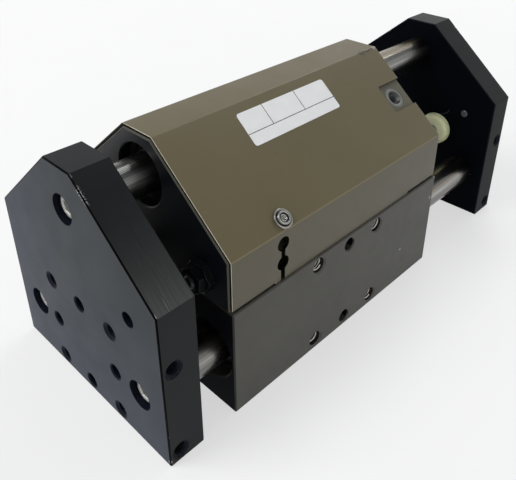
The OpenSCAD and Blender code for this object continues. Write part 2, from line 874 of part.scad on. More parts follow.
module port_inserts() {
    color("silver")
        for (side = [-1, 1])
            on_slope(side, port_x, port_s, skin + port_l)
                difference() {
                    cylinder(d = port_d, h = port_l);
                    translate([0, 0, -past]) cylinder(d = port_thread_d, h = port_l + 2 * past);
                    translate([0, 0, port_l - port_mouth_h])
                        cylinder(d1 = port_thread_d, d2 = port_mouth_d, h = port_mouth_h + 0.01);
                }
}

module passage_orings() {
    color("black")
        for (side = [-1, 1])
            translate([port_x, side * air_y, block_h - face_ring_depth + face_ring_t / 2])
                intersection() {
                    rotate_extrude()
                        translate([(face_ring_d - face_ring_t) / 2, 0])
                            circle(d = face_ring_t);
                    translate([0, 0, -face_ring_t / 2])
                        cylinder(d = 2 * face_ring_d, h = face_ring_depth);
                }
}

module passage_plug() {
    color("gray")
        difference() {
            bar_x(rear_x - plug_l, rear_x - edge_c, air_y, air_z, plug_d);
            hex_x(rear_x - plug_l / 2, rear_x, air_y, air_z, plug_d / 2);
        }
}

module thread_inserts() {
    color("silver")
        for (side = [-1, 1])
            for (at = CORNERS)
                on_side(side, at[0] * grid, side_z + at[1] * grid, body_w / 2)
                    translate([0, 0, -insert_sink - insert_l])
                        difference() {
                            cylinder(d = insert_d, h = insert_l);
                            translate([0, 0, -past])
                                cylinder(d = thread_d, h = insert_l + 2 * past);
                        }
}

module stop_bushing() {
    color("dimgray")
        difference() {
            union() {
                hex_x(front_x - flange_h, front_x, -stop_y, stop_z, flange_af);
                bar_x(front_x - past, front_x + stop_shank_l, -stop_y, stop_z, stop_shank_d);
            }
            bar_x(front_x - flange_h - past, front_x + stop_shank_l + past, -stop_y, stop_z,
                  stop_d + 2 * screw_clear);
        }
}

module stop_nut() {
    x1 = front_x - flange_h;
    color("gray")
        difference() {
            hex_x(x1 - nut_h, x1, -stop_y, stop_z, nut_af);
            bar_x(x1 - nut_h - past, x1 + past, -stop_y, stop_z, stop_d + 2 * screw_clear);
        }
}

module stop_screw() {
    x0 = front_x - stop_reach;
    tip = 0.8;
    color("dimgray")
        difference() {
            union() {
                cone_x(x0, x0 + tip, -stop_y, stop_z, stop_d - 2 * tip, stop_d);
                bar_x(x0 + tip, x0 + stop_l, -stop_y, stop_z, stop_d);
            }
            hex_x(x0 + stop_l - socket_depth, x0 + stop_l + past, -stop_y, stop_z, stop_d / 2);
        }
}

// End plate between x0 and x1 with its rod seats; the outer face is at x_out
module end_plate(x0, x1, x_out) {
    outward = x_out == x0 ? -1 : 1;
    x_in = x_out == x0 ? x1 : x0;
    color("darkslategray")
        difference() {
            chamfered_slab(x0, x1, house(plate_w / 2, plate_lift, plate_shoulder_z,
                                         plate_top_z, plate_top_w / 2, 0));
            for (rod = RODS)
                translate([x_in, rod[0], rod[1]])
                    rotate([0, outward * 90, 0]) {
                        translate([0, 0, -past])
                            cylinder(d = rod_d + 2 * seat_clear, h = rod_seat + past);
                        cylinder(d = screw_d + 4 * screw_clear, h = plate_t);
                        translate([0, 0, plate_t - head_sink - head_h])
                            cylinder(d = cbore_d, h = head_sink + head_h + past);
                    }
            // Stepped hole of the stop pin, with its tip at the inner face
            translate([x_in, -stop_y, stop_z])
                rotate([0, outward * 90, 0]) {
                    translate([0, 0, -past])
                        cylinder(d = pin_tip_d + 2 * screw_clear, h = plate_t);
                    translate([0, 0, pin_tip_l])
                        cylinder(d = screw_d + 2 * seat_clear, h = plate_t);
                }
            for (side = [-1, 1])
                for (k = [-1, 1])
                    on_side(side, x_out - outward * side_hole_x, rod_z + k * grid, plate_w / 2) {
                        translate([0, 0, -side_hole_depth])
                            cylinder(d = thread_d, h = side_hole_depth + past);
                        translate([0, 0, -(thread_mouth_d - thread_d) / 2])
                            cylinder(d1 = thread_d, d2 = thread_mouth_d,
                                     h = (thread_mouth_d - thread_d) / 2 + 0.01);
                    }
        }
}

module front_plate() {
    difference() {
        end_plate(front_out_x, front_in_x, front_out_x);
        for (at = CORNERS)
            drilled_x(front_out_x, front_in_x + past, at[0] * grid, rod_z + at[1] * grid,
                      thread_d, thread_mouth_d);
        for (at = MIDDLES)
            drilled_x(front_out_x, front_in_x + past, at[0] * grid, rod_z + at[1] * grid,
                      dowel_d, dowel_d + 2 * dowel_c);
        // Blind thread that takes the piston rod
        bar_x(front_in_x - rod_stud_l - past, front_in_x + past, 0, rod_z,
              rod_stud_d + 2 * screw_clear);
    }
}

// Threaded ends of the piston rod
rod_stud_d = 8;
rod_stud_l = 10;

module rear_plate() {
    difference() {
        end_plate(rear_in_x, rear_out_x, rear_out_x);
        bar_x(rear_in_x - past, rear_in_x + stud_l + past, -bumper_y, bumper_z,
              stud_d + 2 * screw_clear);
    }
}

// Guide rod from seat to seat with a thread in each end
module guide_rod(rod) {
    x0 = front_in_x - rod_seat;
    x1 = rear_in_x + rod_seat;
    c = 0.8;
    color("whitesmoke")
        difference() {
            union() {
                cone_x(x0, x0 + c, rod[0], rod[1], rod_d - 2 * c, rod_d);
                bar_x(x0 + c, x1 - c, rod[0], rod[1], rod_d);
                cone_x(x1 - c, x1, rod[0], rod[1], rod_d, rod_d - 2 * c);
            }
            bar_x(x0 - past, x0 + rod_thread_depth, rod[0], rod[1], screw_d + 2 * screw_clear);
            bar_x(x1 - rod_thread_depth, x1 + past, rod[0], rod[1], screw_d + 2 * screw_clear);
        }
}

module guide_rod_top() {
    guide_rod(RODS[0]);
}

module guide_rod_left() {
    guide_rod(RODS[1]);
}

module guide_rod_right() {
    guide_rod(RODS[2]);
}

module front_plate_screws() {
    color("silver")
        for (rod = RODS)
            translate([front_out_x + head_sink + head_h, rod[0], rod[1]])
                rotate([0, -90, 0])
                    cap_screw(rod_screw_l);
}

module rear_plate_screws() {
    color("silver")
        for (rod = RODS)
            translate([rear_out_x - head_sink - head_h, rod[0], rod[1]])
                rotate([0, 90, 0])
                    cap_screw(rod_screw_l);
}

// Set screw with a plain tip flush with the plate's inner face, its socket outwards
module stop_pin(x_in, outward) {
    color("silver")
        translate([x_in, -stop_y, stop_z])
            rotate([0, outward * 90, 0])
                difference() {
                    union() {
                        cylinder(d = pin_tip_d, h = plate_t - pin_sink);
                        translate([0, 0, pin_tip_l])
                            cylinder(d = screw_d, h = plate_t - pin_sink - pin_tip_l);
                    }
                    translate([0, 0, plate_t - pin_sink - socket_depth])
                        cylinder(d = screw_d / 2 / cos(30), h = socket_depth + past, $fn = 6);
                }
}

module front_stop_pin() {
    stop_pin(front_in_x, -1);
}

module rear_stop_pin() {
    stop_pin(rear_in_x, 1);
}

module bumper() {
    color("palegoldenrod")
        translate([rear_in_x, -bumper_y, bumper_z])
            rotate([0, -90, 0])
                difference() {
                    rotate_extrude()
                        union() {
                            square([bumper_d / 2 - bumper_r, bumper_h]);
                            square([bumper_d / 2, bumper_h - bumper_r]);
                            translate([bumper_d / 2 - bumper_r, bumper_h - bumper_r])
                                circle(r = bumper_r);
                        }
                    translate([0, 0, -past])
                        cylinder(d = stud_d + 2 * screw_clear, h = bumper_h);
                    translate([0, 0, bumper_h - bumper_hole_h])
                        cylinder(d = bumper_hole_d, h = bumper_hole_h + past);
                }
}

module bumper_stud() {
    color("silver")
        difference() {
            bar_x(rear_in_x - bumper_h + stud_sink, rear_in_x + stud_l, -bumper_y, bumper_z,
                  stud_d);
            hex_x(rear_in_x - bumper_h, rear_in_x - bumper_h + stud_sink + stud_d / 2,
                  -bumper_y, bumper_z, stud_d / 2);
        }
}

module piston_rod() {
    color("whitesmoke")
        union() {
            bar_x(front_in_x - rod_stud_l, front_in_x + past, 0, rod_z, rod_stud_d);
            bar_x(front_in_x, piston_x, 0, rod_z, piston_rod_d);
            bar_x(piston_x - past, nut_x + piston_nut_h, 0, rod_z, rod_stud_d);
        }
}

// The piston's nut and the pocket it sits in
piston_nut_af = 13;
piston_nut_h = 5;
nut_pocket_d = 18;
nut_pocket_h = 6;
nut_x = piston_x + piston_l - nut_pocket_h;

module piston() {
    x1 = piston_x + piston_l;
    color("lightgray")
        difference() {
            bar_x(piston_x, x1, 0, rod_z, cyl_d - 2 * piston_air);
            bar_x(piston_x - past, x1 + past, 0, rod_z, rod_stud_d + 2 * screw_clear);
            bar_x(nut_x, x1 + past, 0, rod_z, nut_pocket_d);
            for (k = [0, 1])
                tube_x(seal_x(k), seal_x(k) + piston_seal_w, 0, rod_z, cyl_d + past,
                       cyl_d - 2 * piston_seal_h);
            tube_x(magnet_x, magnet_x + magnet_w, 0, rod_z, cyl_d + past,
                   cyl_d - 2 * piston_seal_h);
        }
}

// Grooves of the piston for two seals and the magnet between them
piston_seal_w = 3;
piston_seal_h = 3;
magnet_w = 4;
magnet_x = piston_x + piston_l / 2 - magnet_w / 2;
function seal_x(k) = k == 0 ? piston_x + 1 : piston_x + piston_l - 1 - piston_seal_w;

module piston_seals() {
    color("black")
        for (k = [0, 1])
            tube_x(seal_x(k) + lip_clear, seal_x(k) + piston_seal_w - lip_clear, 0, rod_z,
                   cyl_d - 2 * lip_clear, cyl_d - 2 * piston_seal_h + 2 * seat_clear);
}

module piston_magnet() {
    color("dimgray")
        tube_x(magnet_x + lip_clear, magnet_x + magnet_w - lip_clear, 0, rod_z,
               cyl_d - 2 * piston_air, cyl_d - 2 * piston_seal_h + 2 * seat_clear);
}

module piston_nut() {
    color("gray")
        difference() {
            hex_x(nut_x, nut_x + piston_nut_h, 0, rod_z, piston_nut_af);
            bar_x(nut_x - past, nut_x + piston_nut_h + past, 0, rod_z,
                  rod_stud_d + 2 * screw_clear);
        }
}

base_block();
front_bearing_block();
rear_bearing_block();
block_screws();
hood();
hood_screws();
hood_washers();
label();
top_front_bushing();
top_rear_bushing();
left_front_bushing();
left_rear_bushing();
right_front_bushing();
right_rear_bushing();
rod_wipers();
cylinder_front_cover();
cylinder_rear_cover();
cover_rings();
cover_orings();
rod_seal();
port_inserts();
passage_orings();
passage_plug();
thread_inserts();
stop_bushing();
stop_screw();
stop_nut();
front_plate();
rear_plate();
guide_rod_top();
guide_rod_left();
guide_rod_right();
front_plate_screws();
rear_plate_screws();
front_stop_pin();
rear_stop_pin();
bumper();
bumper_stud();
piston_rod();
piston();
piston_seals();
piston_magnet();
piston_nut();
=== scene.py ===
"""Pneumatic slide table: looks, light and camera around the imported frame."""

import math

import bmesh
import bpy
from mathutils import Matrix, Vector
from mathutils.geometry import delaunay_2d_cdt


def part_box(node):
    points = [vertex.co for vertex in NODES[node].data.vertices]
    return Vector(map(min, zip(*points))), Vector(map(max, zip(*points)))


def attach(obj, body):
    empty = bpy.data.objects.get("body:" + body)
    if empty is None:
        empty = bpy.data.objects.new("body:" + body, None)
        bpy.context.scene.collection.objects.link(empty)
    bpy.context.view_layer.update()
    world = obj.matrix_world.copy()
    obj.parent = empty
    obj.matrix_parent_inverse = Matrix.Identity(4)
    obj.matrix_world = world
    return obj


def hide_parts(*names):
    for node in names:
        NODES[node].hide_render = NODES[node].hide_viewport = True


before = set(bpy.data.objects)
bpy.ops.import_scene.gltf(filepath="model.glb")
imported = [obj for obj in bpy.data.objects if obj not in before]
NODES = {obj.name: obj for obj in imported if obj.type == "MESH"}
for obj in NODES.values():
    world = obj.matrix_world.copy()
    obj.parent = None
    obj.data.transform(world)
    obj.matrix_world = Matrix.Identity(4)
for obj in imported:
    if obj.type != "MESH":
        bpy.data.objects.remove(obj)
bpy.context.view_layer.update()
MM = 0.001
TAU = 2 * math.pi
# Shared places of the part, in mm
BLOCK_FRONT, BLOCK_REAR = -68, 68            # ends of the base block along X
SIDE_Y = 50                                  # side faces of the block and the plates
HOLE_Z, HOLE_GAP = 25, 20                    # mounting holes: middle height, half spacing
ROD_ENDS = ((0, 87.5), (-35, 25), (35, 25))  # y and z of the rods


def box_mm(node):
    """Lowest and highest corner of a CAD node in millimetres."""
    low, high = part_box(node)
    return low / MM, high / MM


HOOD_LOW, HOOD_HIGH = box_mm("hood")
FRONT_X, REAR_X = box_mm("front_plate")[0].x, box_mm("rear_plate")[1].x


# ------------------------------------------------------------------ materials
class Look:
    """A principled material with short helpers for its procedural nodes."""

    def __init__(self, name, metallic=0.0, specular=0.5):
        self.m = bpy.data.materials.new(name)
        self.m.use_nodes = True
        self.nodes = self.m.node_tree.nodes
        self.links = self.m.node_tree.links
        self.bsdf = self.nodes["Principled BSDF"]
        self.colour = self.rough = self.height = None
        self.metal = metallic
        self.bsdf.inputs["Specular IOR Level"].default_value = specular
        self.coords = self.nodes.new("ShaderNodeTexCoord").outputs["Object"]

    def put(self, socket, value):
        if isinstance(value, bpy.types.NodeSocket):
            self.links.new(value, socket)
        elif hasattr(value, "__len__") and len(value) == 3 and socket.type == "RGBA":
            socket.default_value = (*value, 1)
        else:
            socket.default_value = value

    def math(self, op, a, b=0.0, clamp=False):
        n = self.nodes.new("ShaderNodeMath")
        n.operation, n.use_clamp = op, clamp
        self.put(n.inputs[0], a)
        self.put(n.inputs[1], b)
        return n.outputs[0]

    def times(self, a, b):
        return self.math("MULTIPLY", a, b)

    def most(self, a, b):
        return self.math("MAXIMUM", a, b)

    def noise(self, size, detail=3.0, stretch=(1, 1, 1), rough=0.55, shift=0.0):
        """Noise whose features are about size mm, longer along a stretched axis."""
        mp = self.nodes.new("ShaderNodeMapping")
        self.links.new(self.coords, mp.inputs["Vector"])
        mp.inputs["Scale"].default_value = [1 / (size * MM * s) for s in stretch]
        mp.inputs["Location"].default_value = (shift, shift * 1.7, shift * 0.6)
        n = self.nodes.new("ShaderNodeTexNoise")
        self.links.new(mp.outputs[0], n.inputs["Vector"])
        n.inputs["Scale"].default_value = 1.0
        n.inputs["Detail"].default_value = detail
        n.inputs["Roughness"].default_value = rough
        return n.outputs["Fac"]

    def span(self, value, low, high, to_low=0.0, to_high=1.0):
        """Maps low..high onto to_low..to_high and holds the ends."""
        n = self.nodes.new("ShaderNodeMapRange")
        n.clamp = True
        self.put(n.inputs["Value"], value)
        for key, v in (("From Min", low), ("From Max", high),
                       ("To Min", to_low), ("To Max", to_high)):
            n.inputs[key].default_value = v
        return n.outputs["Result"]

    def mix(self, fac, a, b, blend="MIX"):
        n = self.nodes.new("ShaderNodeMix")
        n.data_type, n.blend_type = "RGBA", blend
        self.put(n.inputs[0], fac)
        self.put(n.inputs[6], a)
        self.put(n.inputs[7], b)
        return n.outputs[2]

    def blend(self, fac, a, b):
        """Mix of two plain values."""
        n = self.nodes.new("ShaderNodeMix")
        n.data_type = "FLOAT"
        self.put(n.inputs[0], fac)
        self.put(n.inputs[2], a)
        self.put(n.inputs[3], b)
        return n.outputs[0]

    def edge(self, radius, low=0.02, high=0.25):
        """1 on the outer edges within radius mm, 0 on flat faces."""
        bev = self.nodes.new("ShaderNodeBevel")
        bev.samples = 6
        bev.inputs["Radius"].default_value = radius * MM
        geo = self.nodes.new("ShaderNodeNewGeometry")
        same = self.vector("DOT_PRODUCT", bev.outputs[0], geo.outputs["Normal"], "Value")
        return self.span(self.math("SUBTRACT", 1.0, same), low, high)

    def near(self, point, radius):
        """1 at a point given in mm, falling to 0 at radius mm."""
        gap = self.vector("DISTANCE", self.coords, [c * MM for c in point], "Value")
        return self.span(gap, 0.0, radius * MM, 1.0, 0.0)

    def vector(self, op, a, b=None, out="Vector"):
        n = self.nodes.new("ShaderNodeVectorMath")
        n.operation = op
        self.put(n.inputs[0], a)
        if b is not None:
            self.put(n.inputs["Scale" if op == "SCALE" else 1], b)
        return n.outputs[out]

    def off_axis(self, y, z):
        """Distance in metres from a line along X through y, z in mm."""
        flat = self.vector("MULTIPLY", self.coords, (0, 1, 1))
        return self.vector("DISTANCE", flat, (0, y * MM, z * MM), "Value")

    def line(self, points, width):
        """1 on a thin line through points given in mm, 0 elsewhere."""
        mask = 0.0
        for a, b in zip(points, points[1:]):
            a, d = Vector(a) * MM, (Vector(b) - Vector(a)) * MM
            from_a = self.vector("SUBTRACT", self.coords, a)
            along = self.math("ADD", self.vector("DOT_PRODUCT", from_a, d / d.length_squared,
                                                 "Value"), 0.0, True)
            gap = self.vector("DISTANCE", from_a, self.vector("SCALE", d, along), "Value")
            hit = self.span(gap, width * MM * 0.4, width * MM, 1.0, 0.0)
            mask = self.math("MAXIMUM", hit, mask)
        return mask

    def axis(self, vector, name):
        n = self.nodes.new("ShaderNodeSeparateXYZ")
        self.links.new(vector, n.inputs[0])
        return n.outputs[name]

    def at(self, name):
        """Place along X, Y or Z in metres."""
        return self.axis(self.coords, name)

    def facing(self, name):
        """Part of the surface normal along X, Y or Z."""
        geo = self.nodes.new("ShaderNodeNewGeometry")
        return self.axis(geo.outputs["Normal"], name)

    def bump(self, height, strength, depth):
        """Adds a bump of the given depth in mm."""
        n = self.nodes.new("ShaderNodeBump")
        n.inputs["Strength"].default_value = strength
        n.inputs["Distance"].default_value = depth * MM
        self.put(n.inputs["Height"], height)
        if self.height is not None:
            self.links.new(self.height, n.inputs["Normal"])
        self.height = n.outputs[0]

    def tint(self, dark, light, size, detail=4.0):
        """Cloudy base colour between two tones, in patches of about size mm."""
        self.colour = self.mix(self.span(self.noise(size, detail), 0.3, 0.7), dark, light)

    def paint(self, mask, colour):
        """Lays a colour over the look where the mask is 1."""
        self.colour = self.mix(mask, self.colour, colour)

    def gloss(self, low, high, size, detail, stretch=(1, 1, 1)):
        """Roughness that wanders between low and high in patches of about size mm."""
        self.rough = self.span(self.noise(size, detail, stretch), 0.3, 0.7, low, high)

    def done(self):
        self.put(self.bsdf.inputs["Base Color"], self.colour)
        self.put(self.bsdf.inputs["Roughness"], self.rough)
        self.put(self.bsdf.inputs["Metallic"], self.metal)
        if self.height is not None:
            self.links.new(self.height, self.bsdf.inputs["Normal"])
        return self.m


def plate_look(node, inward, specular):
    """Black anodised end plate: satin, stained, with bare chips at its edges."""
    k = Look(node + "_black", specular=specular)
    k.tint((0.0032, 0.0046, 0.0052), (0.0050, 0.0064, 0.0082), 45, 3)
    brown = k.span(k.noise(26, 4, shift=3.1), 0.56, 0.8)
    k.paint(k.times(brown, 0.35), (0.0100, 0.0080, 0.0075))
    low, high = box_mm(node)
    # Painted reflection: the front plate's slopes grow paler and flecked towards the shoulders,
    # streaked along the milling
    up, height = k.facing("Z"), k.at("Z")
    mill = k.noise(0.45, 3, (1, 50, 50), 0.7, 4.0)
    slope = k.times(k.span(up, 0.4, 0.6), k.span(up, 0.95, 0.85))
    if inward > 0:
        low_end = k.math("POWER", k.span(height, 0.100, 0.070), 2.2)
        pale = k.times(low_end, k.span(mill, 0.25, 0.75, 0.55, 1.25))
        k.paint(k.times(slope, pale), (0.062, 0.066, 0.064))
        fleck = k.span(k.noise(0.7, 2, (1, 14, 14), shift=9.0), 0.68, 0.72)
        fleck = k.times(k.times(slope, low_end), fleck)
        k.paint(k.times(fleck, 0.55), (0.15, 0.155, 0.15))
    # Painted reflection: the outer faces get a bluish tint, bluer still as painted shade low
    # down and towards +Y
    outer = k.span(k.times(k.facing("X"), -inward), 0.6, 0.8)
    k.paint(outer, (0.0022, 0.0078, 0.0125))
    painted_shade_zone = k.most(k.span(height, 0.070, 0.0), k.span(k.at("Y"), 0.0, 0.05))
    k.paint(k.times(outer, painted_shade_zone), (0.0030, 0.0110, 0.0300))
    # Painted shade: the inner faces, turned to the block, are painted near black
    inner = k.span(k.times(k.facing("X"), inward), 0.6, 0.8)
    k.paint(inner, (0.0006, 0.0014, 0.0040))
    side = k.span(k.math("ABSOLUTE", k.facing("Y")), 0.9, 0.97)
    k.gloss(0.39, 0.45, 14, 4)
    k.rough = k.blend(k.most(inner, side), k.rough, 0.62)
    k.rough = k.blend(inner, k.rough, 0.8)
    k.bump(k.noise(0.35, 2, (1, 60, 60), shift=1.3), 0.35, 0.02)
    k.bump(k.noise(0.25, 2), 0.25, 0.02)
    # The chamfered rims are painted dark as shade, with bare metal where they were knocked
    rim = k.edge(0.6, 0.02, 0.10)
    k.paint(rim, (0.0008, 0.0008, 0.0010))
    k.rough = k.blend(rim, k.rough, 0.75)
    wear = k.times(rim, k.span(k.noise(2.6, 4, shift=7.0), 0.70, 0.72))
    x = low.x if inward > 0 else high.x
    rub = k.noise(1.0, 4, shift=2.0)
    flake = k.math("SUBTRACT", k.span(rub, 0.42, 0.46), k.span(rub, 0.53, 0.56))
    strip = k.edge(1.3, 0.004, 0.02)
    knocks = ((-9.9, 105.2, 1.6), (-15.8, 100.4, 4.4), (-49.5, 71.2, 1.2), (-49.8, 2.4, 1.3),
              (34, 85, 1.6))    # y, z and radius
    for y, z, r in knocks:
        here = k.times(k.span(k.near((x, y, z), r), 0.0, 0.35), strip)
        wear = k.most(wear, k.times(here, flake))
    k.paint(wear, (0.60, 0.60, 0.58))
    if inward < 0:
        scratch = ((-19.0, 54.6), (-21.4, 55.7), (-23.5, 57.0), (-24.3, 58.2), (-24.4, 59.1))
        mark = k.line([(low.x, y, z) for y, z in scratch], 0.28)
        k.paint(mark, (0.060, 0.062, 0.070))
    # The inner faces are also made dark metal, painted shade so that they hardly mirror anything
    k.metal = k.most(k.times(wear, 0.7), k.times(inner, 0.75))
    return k.done()


def block_look(name, dark, light, ends, bore=None, pocket=None, chips=()):
    """Hard anodised block: grey with an olive cast, end faces painted black as shade, and small
    chips.

    The painted shade also covers a bore along X (y, z, radius) and side pockets at the given x.
    """
    k = Look(name, specular=0.28)
    k.tint(dark, light, 34, 3)
    # Painted shade: the end faces, a bore and the side pockets are painted near black
    end = k.span(k.math("ABSOLUTE", k.facing("X")), 0.6, 0.8)
    if bore:
        y, z, r = bore
        end = k.most(end, k.span(k.off_axis(y, z), r * MM, (r + 0.3) * MM, 1.0, 0.0))
    if pocket:
        outside = k.span(k.math("ABSOLUTE", k.at("Y")), 0.040, 0.0405)
        along = k.math("ABSOLUTE", k.math("SUBTRACT", k.at("X"), pocket * MM))
        end = k.most(end, k.times(outside, k.span(along, 0.0050, 0.0045)))
    k.paint(end, ends)
    thick = 0.0 if bore else end
    k.gloss(0.38, 0.46, 7, 5)
    k.rough = k.blend(thick, k.rough, 0.85)
    k.bump(k.noise(0.4, 2, (60, 60, 1), shift=0.7), 0.3, 0.02)
    k.bump(k.noise(0.3, 2), 0.25, 0.02)
    rim = k.edge(0.6, 0.03, 0.15)
    bare = k.times(rim, k.span(k.noise(2.2, 4, shift=4.0), 0.70, 0.72))
    worn = k.times(rim, k.span(k.noise(9, 3, shift=9.0), 0.36, 0.62))
    k.paint(k.times(worn, 0.65), (0.15, 0.14, 0.12))
    if not bore:
        # A painted highlight lies on the top edge of its front end as a thin tan line
        edge_highlight = k.times(k.span(k.at("X"), -0.0678, -0.0679), k.span(k.at("Z"), 0.04962, 0.04972))
        k.paint(edge_highlight, (0.30, 0.26, 0.18))
        bare = k.most(bare, k.times(edge_highlight, 0.3))
    for at, r in chips:
        dent = k.times(k.span(k.near(at, r), 0.0, 0.5),
                       k.span(k.noise(r * 0.5, 3, shift=1.0), 0.40, 0.46))
        bare = k.most(bare, dent)
    k.paint(bare, (0.55, 0.54, 0.51))
    # Painted shade: the base block's ends are made dark metal, so that they hardly mirror
    # anything
    shaded_end_mask = k.times(thick, k.math("SUBTRACT", 1.0, rim))
    k.metal = k.most(k.times(bare, 0.6), k.times(shaded_end_mask, 0.8))
    return k.done()


def hood_look():
    """Bronze coloured satin coating of the sheet hood."""
    k = Look("hood_coat", specular=0.38)
    k.tint((0.117, 0.098, 0.050), (0.129, 0.107, 0.056), 34, 3)
    k.gloss(0.36, 0.44, 12, 5)
    k.bump(k.noise(0.5, 3), 0.18, 0.03)
    k.bump(k.noise(45, 2, shift=5.0), 0.12, 1.2)
    up = k.facing("Z")
    # Painted shade: the upright sides are darker than the top and the slopes
    side_shade = k.span(k.math("ABSOLUTE", up), 0.1, 0.25, 1.0, 0.0)
    k.paint(side_shade, (0.094, 0.082, 0.052))
    # A painted highlight lies along the lower bends as a gold line, stronger lower down
    bend = k.times(k.span(up, 0.12, 0.3), k.span(up, 0.52, 0.7, 1.0, 0.0))
    bend = k.times(bend, k.span(k.at("Z"), 0.090, 0.080, 0.25, 0.9))
    k.paint(bend, (0.200, 0.162, 0.085))
    # A dark scrape runs along the upper bend over the port, bright at its end
    end, bend_y, top = HOOD_HIGH.x, -8.9, HOOD_HIGH.z - 0.15
    zigzag = ((13.6, 0.3, 0.0), (11.8, -0.5, 0.4), (9.6, 0.2, 0.0), (7.0, -0.4, 0.4),
              (4.4, 0.1, 0.0), (1.0, -0.5, 0.4))
    scrape = k.line([(end - x, bend_y + y, top - z) for x, y, z in zigzag], 0.55)
    scrape = k.times(scrape, k.span(k.noise(1.1, 4, shift=6.0), 0.36, 0.44))
    wide = k.times(k.span(k.near((end - 11.0, bend_y, top), 2.6), 0.0, 0.5),
                   k.span(k.noise(0.9, 4, (3, 1, 1), shift=6.0), 0.52, 0.57))
    pale = k.times(k.span(k.near((end - 0.8, bend_y, top), 2.2), 0.0, 0.5),
                   k.span(k.noise(0.6, 3, (2, 1, 1), shift=3.0), 0.50, 0.55))
    k.paint(k.most(scrape, wide), (0.022, 0.017, 0.012))
    k.paint(pale, (0.50, 0.48, 0.44))
    hair = k.span(k.noise(0.5, 1, (9, 1.2, 1), shift=8.0), 0.77, 0.80)
    k.paint(k.times(hair, 0.15), (0.30, 0.27, 0.21))
    return k.done()


def rim_wear_highlight_look():
    """Rounded rim of the sheet, where the coating has worn to bright metal, paler still as a
    painted highlight.
    """
    k = Look("hood_rim_wear_and_highlight")
    k.tint((0.42, 0.385, 0.30), (0.60, 0.565, 0.46), 5)
    k.gloss(0.4, 0.6, 1, 3)
    k.bump(k.noise(0.2, 2, (8, 1, 1)), 0.3, 0.02)
    return k.done()


def cut_face_look():
    """Cut face of the sheet, painted near black as shade."""
    k = Look("hood_cut_face", specular=0.08)
    k.tint((0.003, 0.003, 0.003), (0.012, 0.010, 0.007), 3)
    k.gloss(0.5, 0.7, 1, 3)
    k.bump(k.noise(0.2, 2, (8, 1, 1)), 0.3, 0.02)
    return k.done()


def steel_look(name, colour, rough_low, rough_high, size, stretch=(1, 1, 1), relief=0.2):
    """Bare or plated metal with fine streaks in its gloss."""
    k = Look(name, metallic=1.0)
    k.tint([c * 0.88 for c in colour], colour, size * 2)
    k.gloss(rough_low, rough_high, size, 5, stretch)
    k.bump(k.noise(0.3, 2, stretch), relief, 0.01)
    return k.done()


def rod_look(name, tone):
    """Hardened, ground and chromed guide rod, streaked by its bushings, with painted reflections
    in its colour.
    """
    k = Look(name, metallic=1.0)
    # The streaks left by its bushings are painted dark and pale as a streaked reflection
    streak = k.noise(2.6, 3, (120, 1, 1), 0.55)
    k.colour = k.mix(k.span(streak, 0.36, 0.62), [c * tone for c in (0.14, 0.136, 0.126)],
                     [c * tone for c in (0.31, 0.31, 0.30)])
    # Painted reflection: brown streaks of the bronze hood
    hood_reflection = k.span(k.noise(5.5, 2, (60, 1, 1), shift=3.0), 0.52, 0.64)
    k.paint(k.times(hood_reflection, 0.55), (0.24, 0.19, 0.125))
    # Painted reflection: fine bright streaks
    fine = k.span(k.noise(0.7, 2, (80, 1, 1), shift=1.0), 0.62, 0.70)
    k.paint(k.times(fine, 0.5), (0.50, 0.50, 0.48))
    k.gloss(0.20, 0.34, 5, 3, (60, 1, 1))
    k.bump(k.noise(0.25, 2, (1, 40, 40)), 0.1, 0.004)
    return k.done()


def dark_steel_look(name, colour, rough, metallic=0.6, worn=0.7, specular=0.5):
    """Blackened steel, rubbed paler on its edges."""
    k = Look(name, metallic=metallic, specular=specular)
    k.tint([c * 0.7 for c in colour], colour, 3)
    k.gloss(rough - 0.06, rough + 0.08, 2, 4)
    k.bump(k.noise(0.3, 3), 0.3, 0.02)
    rim = k.times(k.edge(0.3, 0.05, 0.25), k.span(k.noise(1.5, 3), 0.4, 0.6))
    k.paint(k.times(rim, worn), (0.32, 0.31, 0.30))
    return k.done()


def shade_look(name, dark, light, specular=0.11):
    """Dark matt liner of painted shade in bores, holes and on plate rims; the insert mouths use
    it in grey.
    """
    k = Look(name, specular=specular)
    k.tint(dark, light, 4)
    k.gloss(0.42, 0.58, 2, 3)
    k.bump(k.noise(0.3, 3), 0.3, 0.02)
    return k.done()


def rubber_look():
    """Matt black rubber of the rod wipers."""
    k = Look("wiper_rubber", specular=0.4)
    k.tint((0.018, 0.018, 0.020), (0.030, 0.030, 0.032), 2)
    k.gloss(0.5, 0.7, 1.5, 4)
    k.bump(k.noise(0.3, 3), 0.4, 0.03)
    return k.done()


def plastic_look(name, dark, light, rough, subsurface=0.0):
    """Moulded plastic or printed film."""
    k = Look(name)
    k.tint(dark, light, 5)
    k.gloss(rough - 0.05, rough + 0.07, 3, 4)
    k.bump(k.noise(0.6, 3), 0.25, 0.04)
    k.bsdf.inputs["Subsurface Weight"].default_value = subsurface
    k.bsdf.inputs["Subsurface Scale"].default_value = 0.002
    return k.done()


def ink_look():
    """Black ink of the label's ruled lines."""
    k = Look("label_ink")
    k.tint((0.020, 0.020, 0.022), (0.035, 0.034, 0.036), 2)
    k.gloss(0.4, 0.5, 2, 3)
    return k.done()


